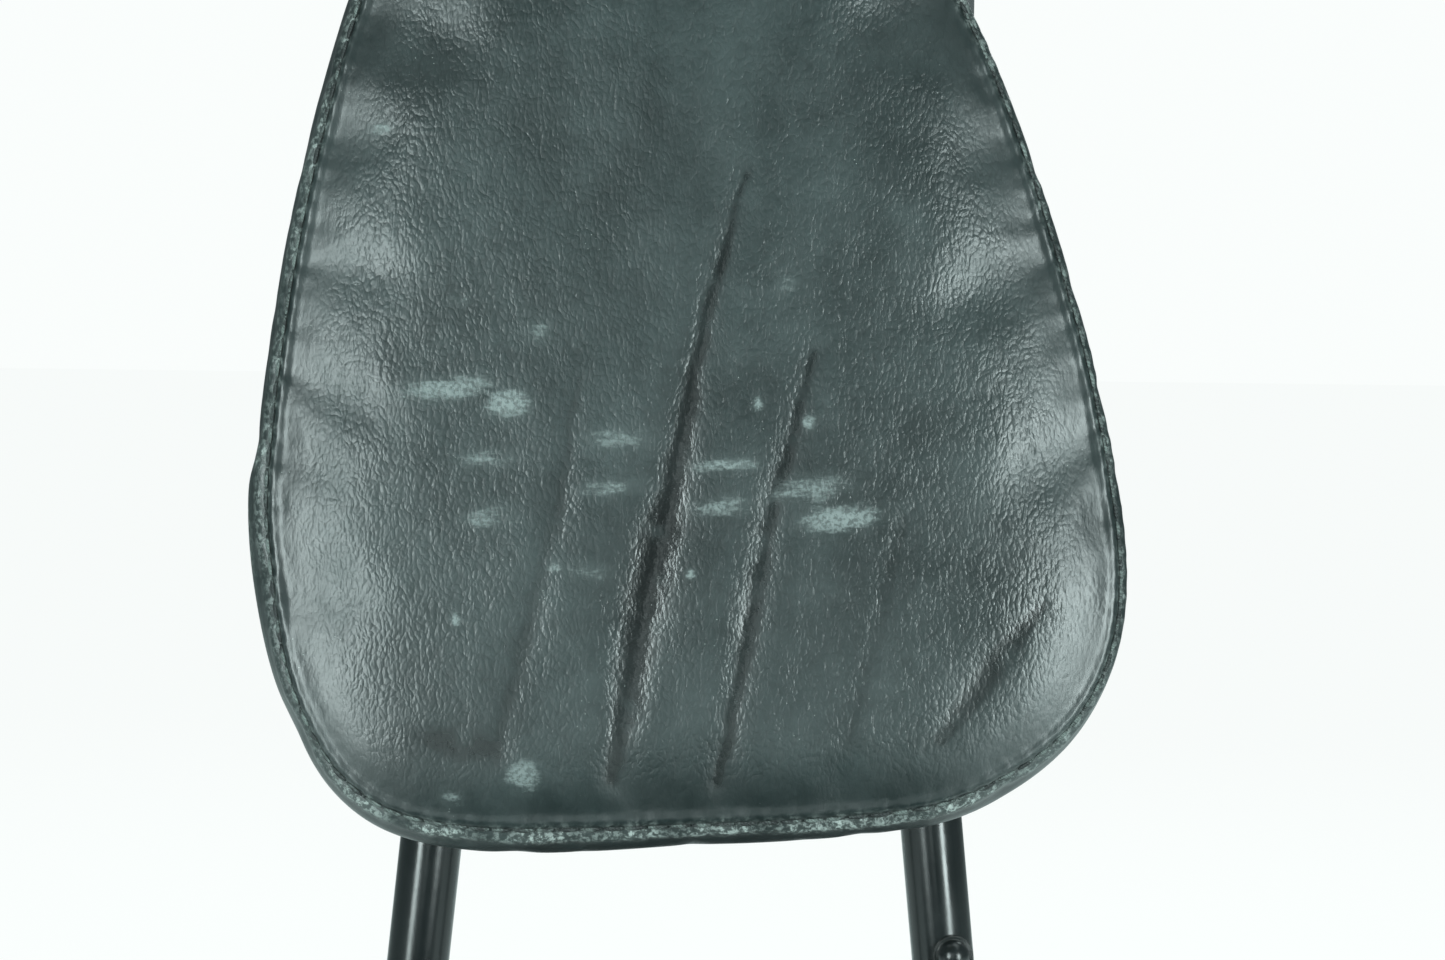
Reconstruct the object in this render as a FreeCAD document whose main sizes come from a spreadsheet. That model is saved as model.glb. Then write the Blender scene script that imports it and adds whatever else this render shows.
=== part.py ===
import FreeCAD, Part
import math
import os
from types import SimpleNamespace
from FreeCAD import Placement, Rotation, Vector

# Pec deck machine: a tubular A-frame with a leather backrest and seat, two swinging arms
# with forearm pads, and a cable-driven weight carriage behind the backrest.
# Frame of reference: +Z up, +X to the right of somebody looking at the backrest, -Y the way
# the sitter faces. The origin lies on the floor, under the middle of the machine.

doc = FreeCAD.newDocument("pec_deck")

# ---------------------------------------------------------------- driving dimensions
DRIVING = [
    ("base_length", 1100, "front foot to rear foot"),
    ("front_foot_length", 500, ""),
    ("rear_foot_length", 700, ""),
    ("mid_foot_length", 400, ""),
    ("floor_bar", 40, "side of the square floor bars"),
    ("bar_wall", 2.5, ""),
    ("foot_pad_height", 15, "rubber feet"),
    ("foot_pad_radius", 18, ""),
    ("plug_thickness", 4, "end plugs of open bars"),
    ("frame_plane", 150, "Y of the two uprights"),
    ("tube_radius", 12.5, "uprights"),
    ("tube_wall", 2, ""),
    ("foot_spacing", 303.6, "uprights, centre to centre, on the floor bar"),
    ("top_spacing", 30.2, "uprights, centre to centre, under the top beam"),
    ("beam", 50, "side of the square top beams"),
    ("beam_wall", 3, ""),
    ("beam_bottom", 1400, "underside of the top beams"),
    ("gusset_thickness", 4, ""),
    ("gusset_height", 120, ""),
    ("pivot_side", 190, "X of the arm pivots"),
    ("pivot_line", -20, "Y of the arm pivots"),
    ("shaft_radius", 10, ""),
    ("running_gap", 0.05, "radial play of shafts in their bushes"),
    ("clear_gap", 0.3, "air between pieces that move past each other"),
    ("housing_radius", 25, ""),
    ("housing_bore", 15, ""),
    ("housing_height", 80, ""),
    ("bush_length", 20, ""),
    ("bush_flange", 3, ""),
    ("bush_flange_radius", 22, ""),
    ("arm_reach", 370, "pivot to drop tube"),
    ("arm_radius", 16, ""),
    ("arm_wall", 2.5, ""),
    ("arm_bend", 70, ""),
    ("arm_hub_radius", 23, ""),
    ("arm_hub_height", 50, ""),
    ("arm_foot", 905, "height of the lower end of the drop tube"),
    ("forearm_bottom", 920, ""),
    ("forearm_height", 240, ""),
    ("forearm_width", 110, ""),
    ("forearm_thickness", 55, ""),
    ("forearm_plate", 4, ""),
    ("grip_height", 100, ""),
    ("grip_thickness", 4, ""),
    ("drum_radius", 70, "middle of the cable on the drum"),
    ("pulley_radius", 30, "middle of the cable on the pulley"),
    ("cable_radius", 2.5, ""),
    ("wheel_lip", 6, "rim above the cable's middle"),
    ("drum_width", 24, ""),
    ("pulley_width", 14, ""),
    ("axle_radius", 4, ""),
    ("crosshead_line", 400, "Y of the rear beam and the guide rods"),
    ("crosshead_length", 300, ""),
    ("drop_side", 121, "X of the hanging cables"),
    ("drop_line", 352, "Y of the hanging cables"),
    ("rod_side", 124.5, "X of the guide rods"),
    ("rod_radius", 8, ""),
    ("weight_width", 300, ""),
    ("weight_depth", 120, ""),
    ("weight_thickness", 25, ""),
    ("weights_resting", 7, "plates below the selector pin"),
    ("weights_lifted", 3, "plates above the selector pin"),
    ("stem_radius", 9, ""),
    ("pin_radius", 4.7, ""),
    ("swing", 100, "degrees of arm travel"),
    ("back_bottom", 570, "height of the lower front edge of the backrest"),
    ("back_line", 20, "Y of that edge"),
    ("back_recline", 8, "degrees"),
    ("back_twist", 4, "degrees the pad has slipped round on its slotted plates"),
    ("cushion_thickness", 40, ""),
    ("board_thickness", 12, ""),
    ("mount_plate", 4, ""),
    ("mount_height", 40, ""),
    ("lower_mount", 100, "along the backrest from its lower edge"),
    ("upper_mount", 320, ""),
    ("seat_top", 470, ""),
    ("seat_width", 380, ""),
    ("seat_depth", 330, ""),
    ("seat_corner", 85, ""),
    ("seat_thickness", 50, ""),
    ("seat_line", -155, "Y of the seat post"),
    ("sleeve", 50, "side of the seat sleeve"),
    ("sleeve_wall", 3, ""),
    ("sleeve_height", 275, ""),
    ("post", 40, "side of the sliding seat post"),
    ("liner_height", 100, ""),
    ("clamp_height", 290, "height of the seat clamp knob"),
    ("stud_radius", 6, ""),
]
sizes = doc.addObject("Spreadsheet::Sheet", "sizes")
for row, (alias, value, note) in enumerate(DRIVING, start=1):
    sizes.set(f"A{row}", note)
    sizes.set(f"B{row}", str(value))
    sizes.setAlias(f"B{row}", alias)
doc.recompute()
d = SimpleNamespace(**{alias: float(value) for alias, value, note in DRIVING})

X, Y, Z = Vector(1, 0, 0), Vector(0, 1, 0), Vector(0, 0, 1)
SIDES = {"left": -1, "right": 1}
subparts = []


# ---------------------------------------------------------------- helpers
def keep(obj, label):
    """Name a finished sub-part; its label becomes its file's name."""
    obj.Label = label
    subparts.append(obj)
    return obj


def bind(obj, **formulas):
    """Tie properties of obj to the cells of the sheet."""
    for prop, formula in formulas.items():
        obj.setExpression(prop, str(formula))
    return obj


def turned(direction):
    """Rotation that lays a piece's own Z along direction."""
    return Rotation(Z, Vector(*direction))


def box(length, width, height, corner, rotation=Rotation()):
    obj = doc.addObject("Part::Box", "block")
    obj.Placement = Placement(Vector(*corner), rotation)
    return bind(obj, Length=length, Width=width, Height=height)


def round_bar(radius, length, start, direction=(0, 0, 1)):
    obj = doc.addObject("Part::Cylinder", "round_bar")
    obj.Placement = Placement(Vector(*start), turned(direction))
    return bind(obj, Radius=radius, Height=length)


def cut(base, *tools):
    for tool in tools:
        piece = doc.addObject("Part::Cut", "cut")
        piece.Base, piece.Tool = base, tool
        base = piece
    return base


def joined(*pieces):
    obj = doc.addObject("Part::MultiFuse", "weldment")
    obj.Shapes = list(pieces)
    return obj


def within(base, tool):
    obj = doc.addObject("Part::Common", "trimmed")
    obj.Base, obj.Tool = base, tool
    return obj


def set_of(pieces):
    """Several like pieces that share one node, each its own solid."""
    obj = doc.addObject("Part::Compound", "set")
    obj.Links = list(pieces)
    return obj


def pipe(radius, wall, length, start, direction=(0, 0, 1)):
    bore = f"{radius} - {wall}"
    return cut(round_bar(radius, length, start, direction), round_bar(bore, length, start, direction))


def ring(outer, inner, height, start, direction=(0, 0, 1)):
    return cut(round_bar(outer, height, start, direction), round_bar(inner, height, start, direction))


def square_tube(along, side, wall, length, start):
    """Hollow square bar whose middle line starts at start and runs along X, Y or Z."""
    which = "xyz".index(along)
    shells = []
    for shrink in (0, getattr(d, wall)):
        corner = [value - (getattr(d, side) / 2 - shrink) for value in start]
        corner[which] = start[which]
        lengths = [f"sizes.{side}" + (f" - 2 * sizes.{wall}" if shrink else "")] * 3
        lengths[which] = length
        shells.append(box(*lengths, corner))
    return cut(*shells)


def new_body(name):
    return doc.addObject("PartDesign::Body", name)


def origin_feature(body, role):
    return next(item for item in body.Origin.OriginFeatures if item.Role == role)


def sketch_on(body, role, geometry):
    sketch = body.newObject("Sketcher::SketchObject", "outline")
    sketch.AttachmentSupport = [(origin_feature(body, role), "")]
    sketch.MapMode = "FlatFace"
    sketch.addGeometry(geometry, False)
    return sketch


def loop_of(points):
    corners = [Vector(*point, 0) for point in points]
    return [Part.LineSegment(a, b) for a, b in zip(corners, corners[1:] + corners[:1])]


def soft_block(name, outline, thickness, edge, placement):
    """A cushion: an outline padded to its thickness, with its face edges rounded."""
    body = new_body(name)
    pad = body.newObject("PartDesign::Pad", "thickness")
    pad.Profile = sketch_on(body, "XY_Plane", outline)
    pad.setExpression("Length", thickness)
    doc.recompute()
    level = pad.Length.Value
    rims = [
        f"Edge{i}" for i, e in enumerate(pad.Shape.Edges, start=1)
        if all(abs(v.Point.z - level) < 0.01 for v in e.Vertexes)
    ]
    rounded = body.newObject("PartDesign::Fillet", "rounded")
    rounded.Base = (pad, rims)
    rounded.Radius = edge
    body.Placement = placement
    return body


def rounded_rectangle(half, low, high, corner):
    """Rounded rectangle, symmetric about X = 0, between two Y values."""
    slant = corner * (1 - math.sqrt(0.5))
    edges = []
    for side in (1, -1):
        start, end = Vector(side * half, low + corner, 0), Vector(side * half, high - corner, 0)
        edges.append(Part.LineSegment(start, end))
        for level, up in ((low, 1), (high, -1)):
            edges.append(Part.Arc(Vector(side * (half - corner), level, 0),
                                  Vector(side * (half - slant), level + up * slant, 0),
                                  Vector(side * half, level + up * corner, 0)))
    for level in (low, high):
        edges.append(Part.LineSegment(Vector(corner - half, level, 0), Vector(half - corner, level, 0)))
    return edges


# ---------------------------------------------------------------- base
FLOOR_BAR = d.foot_pad_height + d.floor_bar / 2
BASE_TOP = d.foot_pad_height + d.floor_bar
FOOT_LINE = d.base_length / 2 - d.floor_bar / 2
FEET = {
    "front_foot": ("sizes.front_foot_length", d.front_foot_length, -FOOT_LINE),
    "rear_foot": ("sizes.rear_foot_length", d.rear_foot_length, FOOT_LINE),
    "upright_foot": ("sizes.mid_foot_length", d.mid_foot_length, d.frame_plane),
}
plugs, foot_pads = [], []
for label, (formula, length, line) in FEET.items():
    inner_length = f"{formula} - 2 * sizes.plug_thickness"
    start = (-length / 2 + d.plug_thickness, line, FLOOR_BAR)
    keep(square_tube("x", "floor_bar", "bar_wall", inner_length, start), label)
    for side in SIDES.values():
        end = side * length / 2
        plug_x = min(end, end - side * d.plug_thickness)
        corner = (plug_x, line - d.floor_bar / 2, d.foot_pad_height)
        plugs.append(box("sizes.plug_thickness", "sizes.floor_bar", "sizes.floor_bar", corner))
        pad_x = end - side * 1.5 * d.foot_pad_radius
        foot_pads.append(round_bar("sizes.foot_pad_radius", "sizes.foot_pad_height", (pad_x, line, 0)))
keep(set_of(foot_pads), "rubber_feet")

RAILS = [(-FOOT_LINE, d.frame_plane), (d.frame_plane, FOOT_LINE)]
rails = []
for begin, end in RAILS:
    start = (0, begin + d.floor_bar / 2, FLOOR_BAR)
    rails.append(square_tube("y", "floor_bar", "bar_wall", end - begin - d.floor_bar, start))
keep(set_of(rails), "floor_rails")

# ---------------------------------------------------------------- uprights
DOME_SHANK, DOME_HEAD, DOME_NUT, WASHER = 4, 6.5, 6, 1.5
HOLE_PLAY = 0.2
RISE = d.beam_bottom - BASE_TOP
LEAN = (d.foot_spacing - d.top_spacing) / 2 / RISE


def upright_x(height):
    """Distance of an upright's middle line from the centre plane at a height."""
    return d.foot_spacing / 2 - LEAN * (height - BASE_TOP)


def upright_line(side, solid=False):
    """An upright's tube, long enough to be trimmed at both ends."""
    extra = 2 * d.tube_radius
    start = (side * upright_x(BASE_TOP - extra), d.frame_plane, BASE_TOP - extra)
    direction = (-side * LEAN, 0, 1)
    length = (RISE + 2 * extra) * math.hypot(1, LEAN)
    if solid:
        return round_bar("sizes.tube_radius", length, start, direction)
    return pipe("sizes.tube_radius", "sizes.tube_wall", length, start, direction)


DOME_HEIGHT = d.back_bottom - 61
DOME_X = upright_x(DOME_HEIGHT) + 3.6
FRONT_OF_TUBES = d.frame_plane - d.tube_radius
BACK_OF_TUBES = d.frame_plane + d.tube_radius

for name, side in SIDES.items():
    reach = d.foot_spacing
    between_bars = box(2 * reach, 2 * reach, RISE, (-reach, d.frame_plane - reach, BASE_TOP))
    tube = within(upright_line(side), between_bars)
    if name == "right":
        hole_start = (DOME_X, FRONT_OF_TUBES - WASHER, DOME_HEIGHT)
        tube = cut(tube, round_bar(DOME_SHANK + HOLE_PLAY, "4 * sizes.tube_radius", hole_start, (0, 1, 0)))
    keep(tube, f"upright_{name}")

# A domed bolt goes right through the right-hand upright, a little off its middle line.
head = doc.addObject("Part::Sphere", "dome")
head.Radius = DOME_HEAD
head.Placement = Placement(Vector(DOME_X, FRONT_OF_TUBES - WASHER, DOME_HEIGHT), Rotation())
room = 2 * DOME_HEAD
front_corner = (DOME_X - room, FRONT_OF_TUBES - WASHER - room, DOME_HEIGHT - room)
head_half = within(head, box(2 * room, room, 2 * room, front_corner))
washer = round_bar(DOME_HEAD + WASHER, WASHER, (DOME_X, FRONT_OF_TUBES, DOME_HEIGHT), (0, -1, 0))
shank_length = f"2 * sizes.tube_radius + {DOME_NUT + DOME_SHANK}"
shank = round_bar(DOME_SHANK, shank_length, (DOME_X, FRONT_OF_TUBES, DOME_HEIGHT), (0, 1, 0))
nut = round_bar(DOME_HEAD, DOME_NUT, (DOME_X, BACK_OF_TUBES, DOME_HEIGHT), (0, 1, 0))
keep(joined(head_half, washer, shank, nut), "upright_dome_bolt")

# ---------------------------------------------------------------- top beams
BEAM_MIDDLE = d.beam_bottom + d.beam / 2
HOUSING_BOTTOM = BEAM_MIDDLE - d.housing_height / 2
pivot = {name: (side * d.pivot_side, d.pivot_line) for name, side in SIDES.items()}

beam_start = (-d.pivot_side, d.pivot_line, BEAM_MIDDLE)
front_beam = square_tube("x", "beam", "beam_wall", "2 * sizes.pivot_side", beam_start)
housings = [round_bar("sizes.housing_radius", "sizes.housing_height", (x, y, HOUSING_BOTTOM))
            for x, y in pivot.values()]
keep(cut(front_beam, *housings), "pivot_beam")
rings = [ring("sizes.housing_radius", "sizes.housing_bore", "sizes.housing_height", (x, y, HOUSING_BOTTOM))
         for x, y in pivot.values()]
keep(set_of(rings), "pivot_housings")

spine_start = d.pivot_line + d.beam / 2
spine_length = "sizes.crosshead_line - sizes.pivot_line - sizes.beam"
keep(square_tube("y", "beam", "beam_wall", spine_length, (0, spine_start, BEAM_MIDDLE)), "top_spine")

inner_length = "sizes.crosshead_length - 2 * sizes.plug_thickness"
start = (-d.crosshead_length / 2 + d.plug_thickness, d.crosshead_line, BEAM_MIDDLE)
keep(square_tube("x", "beam", "beam_wall", inner_length, start), "rear_crosshead")
for side in SIDES.values():
    end = side * d.crosshead_length / 2
    corner = (min(end, end - side * d.plug_thickness), d.crosshead_line - d.beam / 2, d.beam_bottom)
    plugs.append(box("sizes.plug_thickness", "sizes.beam", "sizes.beam", corner))
keep(set_of(plugs), "bar_end_plugs")


def gusset(front_face):
    """Trapezoid plate under the spine that ties the two uprights together."""
    body = new_body("gusset")
    pad = body.newObject("PartDesign::Pad", "plate")
    low, top = d.beam_bottom - d.gusset_height, d.beam_bottom
    half_low, half_top = upright_x(low) + d.tube_radius, upright_x(top) + d.tube_radius
    outline = loop_of([(-half_low, low), (half_low, low), (half_top, top), (-half_top, top)])
    pad.Profile = sketch_on(body, "XZ_Plane", outline)
    pad.setExpression("Length", "sizes.gusset_thickness")
    body.Placement = Placement(Vector(0, front_face, 0), Rotation())
    return body


keep(set_of([gusset(FRONT_OF_TUBES), gusset(BACK_OF_TUBES + d.gusset_thickness)]), "head_gussets")


def flanged_bush(x, y, face, up):
    """Bronze bush in a housing's end; its flange sits outside the face."""
    inside = (x, y, face)
    away = (0, 0, up)
    into = (0, 0, -up)
    bore = "sizes.shaft_radius + sizes.running_gap"
    sleeve = round_bar("sizes.housing_bore", "sizes.bush_length", inside, into)
    flange = round_bar("sizes.bush_flange_radius", "sizes.bush_flange", inside, away)
    through = (x, y, face - up * d.bush_length)
    hole = round_bar(bore, "sizes.bush_length + sizes.bush_flange", through, away)
    return cut(joined(sleeve, flange), hole)


bushes = []
for x, y in pivot.values():
    bushes.append(flanged_bush(x, y, HOUSING_BOTTOM, -1))
    bushes.append(flanged_bush(x, y, HOUSING_BOTTOM + d.housing_height, 1))
keep(set_of(bushes), "pivot_bushes")

# ---------------------------------------------------------------- backrest
recline = math.radians(d.back_recline)
lie_back = Rotation(X, 90 - d.back_recline)
BACK_FOOT = Vector(0, d.back_line, d.back_bottom)
NORMAL = lie_back.multVec(Z)
BACK_DEPTH = d.cushion_thickness + d.board_thickness

# Outline of the pad, from the middle of its lower edge round to the crown: radius and turn
# of each arc. The pad is widest low down and narrows towards a small rounded crown.
PAD_ARCS = [(665, 7.7), (75.3, 62.1), (188.6, 28.7), (676, 17.5)]
CROWN_RADIUS = 80
PAD_TURN_CENTRE = 134


def egg_outline(inset):
    """Closed egg-shaped outline, lower edge at Y = 0, made smaller by inset all round."""
    point, heading = Vector(0, inset, 0), 0.0
    right = []
    for radius, turn in PAD_ARCS:
        radius -= inset
        centre = point + Vector(-math.sin(heading), math.cos(heading), 0) * radius
        stops = [point]
        for part in (0.5, 1.0):
            angle = heading + math.radians(turn) * part
            stops.append(centre + Vector(math.sin(angle), -math.cos(angle), 0) * radius)
        right.append(stops)
        point, heading = stops[-1], heading + math.radians(turn)
    crown = CROWN_RADIUS - inset
    run = (point.x - crown * math.sin(heading)) / -math.cos(heading)
    shoulder = point + Vector(math.cos(heading), math.sin(heading), 0) * run
    top = Vector(0, shoulder.y + crown * math.cos(heading) + crown, 0)

    def mirrored(v):
        return Vector(-v.x, v.y, 0)

    edges = [Part.Arc(mirrored(right[0][2]), right[0][0], right[0][2])]
    for begin, middle, end in right[1:]:
        edges.append(Part.Arc(begin, middle, end))
        edges.append(Part.Arc(mirrored(end), mirrored(middle), mirrored(begin)))
    edges.append(Part.LineSegment(point, shoulder))
    edges.append(Part.LineSegment(mirrored(shoulder), mirrored(point)))
    edges.append(Part.Arc(shoulder, top, mirrored(shoulder)))
    return edges


def on_back(u, v, n):
    """World place of a point given along the backrest's width, height and normal."""
    return BACK_FOOT + lie_back.multVec(Vector(u, v, n))


def twisted(u, v):
    """Where a point of the pad lies once the pad is turned about its middle."""
    turn = Rotation(Z, d.back_twist)
    middle = Vector(0, PAD_TURN_CENTRE, 0)
    return middle + turn.multVec(Vector(u, v, 0) - middle)


def pad_placement(n):
    corner = twisted(0, 0)
    return Placement(on_back(corner.x, corner.y, n), lie_back * Rotation(Z, d.back_twist))


BOARD_INSET, CUSHION_EDGE = 6, 14
board_face = -BACK_DEPTH
cushion_place = pad_placement(-d.cushion_thickness)
cushion = soft_block("back_cushion", egg_outline(0), "sizes.cushion_thickness", CUSHION_EDGE, cushion_place)
keep(cushion, "back_cushion")

SCREW_RADIUS, SCREW_HEAD, SCREW_HEAD_HEIGHT = 4, 7.5, 5
LOWER_SCREWS, UPPER_SCREWS = 60, 38
screw_spots = [(side * across, along) for side in (-1, 1)
               for across, along in ((LOWER_SCREWS, d.lower_mount), (UPPER_SCREWS, d.upper_mount))]
screw_lines = [twisted(u, v) for u, v in screw_spots]


def back_bar(radius, length, spot, n):
    """Round bar along the backrest's normal, starting n behind its face."""
    return round_bar(radius, length, on_back(spot.x, spot.y, n), NORMAL)


board = new_body("board")
board_pad = board.newObject("PartDesign::Pad", "thickness")
board_pad.Profile = sketch_on(board, "XY_Plane", egg_outline(BOARD_INSET))
board_pad.setExpression("Length", "sizes.board_thickness")
board.Placement = pad_placement(board_face)
screw_hole = SCREW_RADIUS + HOLE_PLAY
board_holes = [back_bar(screw_hole, "sizes.board_thickness", s, board_face) for s in screw_lines]
keep(cut(board, *board_holes), "back_board")

plate_face = board_face - d.mount_plate
mount_plates, standoffs = [], []
for along, spots in ((d.lower_mount, screw_lines[0::2]), (d.upper_mount, screw_lines[1::2])):
    behind = (d.frame_plane - d.back_line - along * math.sin(recline)) / math.cos(recline)
    reach = behind + plate_face
    height = on_back(0, along, -behind).z
    half = upright_x(height) + d.tube_radius
    corner = on_back(-half, along - d.mount_height / 2, plate_face)
    plate = box(2 * half, "sizes.mount_height", "sizes.mount_plate", corner, lie_back)
    drilled = cut(plate, *[back_bar(screw_hole, "sizes.mount_plate", s, plate_face) for s in spots])
    mount_plates.append(drilled)
    for side in SIDES.values():
        middle = side * upright_x(height)
        corner = on_back(middle - d.mount_plate / 2, along - d.mount_height / 2, plate_face - reach)
        leg = box("sizes.mount_plate", "sizes.mount_height", reach, corner, lie_back)
        standoffs.append(cut(leg, upright_line(side, solid=True)))
keep(set_of(mount_plates), "back_mount_plates")
keep(set_of(standoffs), "back_standoffs")
keep(set_of([joined(back_bar(SCREW_HEAD, SCREW_HEAD_HEIGHT, s, plate_face - SCREW_HEAD_HEIGHT),
                    back_bar(SCREW_RADIUS, "sizes.mount_plate + sizes.board_thickness - 1", s, plate_face))
             for s in screw_lines]), "back_screws")

# ---------------------------------------------------------------- arms
FOREARM_CORNER, FOREARM_EDGE = 24, 14
PLATE_SHARE, PLATE_MARGIN = 0.7, 15
PAD_SCREW_SIDE, PAD_SCREW_END, PAD_SCREW_HEAD = 26, 50, 4
GRIP_GAP = 8
DRUM_HUB, DRUM_HOLES, PULLEY_HUB = 24, 5, 11
CABLE_END_GAP = 25
HUB_TOP = HOUSING_BOTTOM - d.bush_flange - d.clear_gap
ARM_HEIGHT = HUB_TOP - d.arm_hub_height / 2
DRUM_BOTTOM = HOUSING_BOTTOM + d.housing_height + d.bush_flange + d.clear_gap
CABLE_HEIGHT = DRUM_BOTTOM + d.drum_width / 2


def bent_tube(side):
    """Arm tube: out from the hub, round a bend and straight down."""
    body = new_body("arm")
    out, down = side * (d.arm_reach - d.arm_bend), -(ARM_HEIGHT - d.arm_foot)
    begin = side * (d.shaft_radius + d.arm_hub_radius) / 2
    bend = d.arm_bend
    diagonal = bend * math.sqrt(0.5)
    centre = Vector(out, -bend, 0)
    middle = centre + Vector(side * diagonal, diagonal, 0)
    corner_end = Vector(side * d.arm_reach, -bend, 0)
    path = sketch_on(body, "XZ_Plane", [
        Part.LineSegment(Vector(begin, 0, 0), Vector(out, 0, 0)),
        Part.Arc(Vector(out, 0, 0), middle, corner_end),
        Part.LineSegment(corner_end, Vector(side * d.arm_reach, down, 0)),
    ])
    section = sketch_on(body, "YZ_Plane", [
        Part.Circle(Vector(0, 0, 0), Z, d.arm_radius),
        Part.Circle(Vector(0, 0, 0), Z, d.arm_radius - d.arm_wall),
    ])
    section.AttachmentOffset = Placement(Vector(0, 0, begin), Rotation())
    tube = body.newObject("PartDesign::AdditivePipe", "tube")
    tube.Profile = section
    tube.Spine = path
    body.Placement = Placement(Vector(side * d.pivot_side, d.pivot_line, ARM_HEIGHT), Rotation())
    return body


def wheel(name, radius, width, hub_radius, bore, holes):
    """Grooved cable wheel about its own Z, standing on Z = 0."""
    body = new_body(name)
    groove = d.cable_radius + d.clear_gap
    rim, web = radius + d.wheel_lip, width / 6
    shoulder = radius - 2 * groove
    flare, wall = 1, 1.5
    mid = width / 2
    mouth, cheek = groove + flare, groove + wall
    chain = [
        (bore, 0), (hub_radius, 0), (hub_radius, mid - web), (shoulder, mid - web),
        (shoulder, mid - cheek), (rim, mid - cheek - wall), (rim, mid - mouth), (radius, mid - groove),
    ]
    lower = [Vector(*point, 0) for point in chain]
    upper = [Vector(v.x, width - v.y, 0) for v in reversed(lower)]
    edges = [Part.LineSegment(a, b) for a, b in zip(lower, lower[1:])]
    edges.append(Part.Arc(lower[-1], Vector(radius - groove, mid, 0), upper[0]))
    edges += [Part.LineSegment(a, b) for a, b in zip(upper, upper[1:])]
    edges.append(Part.LineSegment(upper[-1], lower[0]))
    turned_shape = body.newObject("PartDesign::Revolution", "turned")
    turned_shape.Profile = sketch_on(body, "XZ_Plane", edges)
    turned_shape.ReferenceAxis = (origin_feature(body, "Z_Axis"), [""])
    turned_shape.Angle = 360
    doc.recompute()
    if holes:
        middle = (hub_radius + shoulder) / 2
        size = (shoulder - hub_radius) / 2 - 2 * wall
        pocket = body.newObject("PartDesign::Pocket", "lightening_hole")
        pocket.Profile = sketch_on(body, "XY_Plane", [Part.Circle(Vector(middle, 0, 0), Z, size)])
        pocket.Type = "ThroughAll"
        pocket.Midplane = True
        doc.recompute()
        pattern = body.newObject("PartDesign::PolarPattern", "lightening_holes")
        pattern.Originals = [pocket]
        pattern.Axis = (origin_feature(body, "Z_Axis"), [""])
        pattern.Angle = 360
        pattern.Occurrences = holes
        body.Tip = pattern
    return body


def torus(radius, start_angle, turn, placement):
    """Part of a ring of cable, from start_angle counter-clockwise by turn."""
    obj = doc.addObject("Part::Torus", "cable_bend")
    bind(obj, Radius1=radius, Radius2="sizes.cable_radius")
    obj.Angle3 = turn
    obj.Placement = placement * Placement(Vector(0, 0, 0), Rotation(Z, start_angle))
    return obj


# The cable leaves the outer side of each drum and runs back and inwards, in a straight line
# that is tangent to the drum, to the top of its pulley; from there it hangs straight down.
across = d.pivot_side - d.drop_side
back = d.drop_line - d.pivot_line
span = math.hypot(across, back)
TOE_IN = math.degrees(math.atan2(across, back) + math.asin(d.drum_radius / span))
toe = math.radians(TOE_IN)
straight_run = math.sqrt(span ** 2 - d.drum_radius ** 2) - d.pulley_radius
PULLEY_HEIGHT = CABLE_HEIGHT - d.pulley_radius
WRAP = 360 - d.swing - CABLE_END_GAP


def cable_way(side):
    """Horizontal direction in which the cable runs back from its drum."""
    return Vector(-side * math.sin(toe), math.cos(toe), 0)


def pulley_centre(side):
    drop = Vector(side * d.drop_side, d.drop_line, PULLEY_HEIGHT)
    return drop - cable_way(side) * d.pulley_radius


def pulley_axis(side):
    return cable_way(side).cross(Z)


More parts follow.
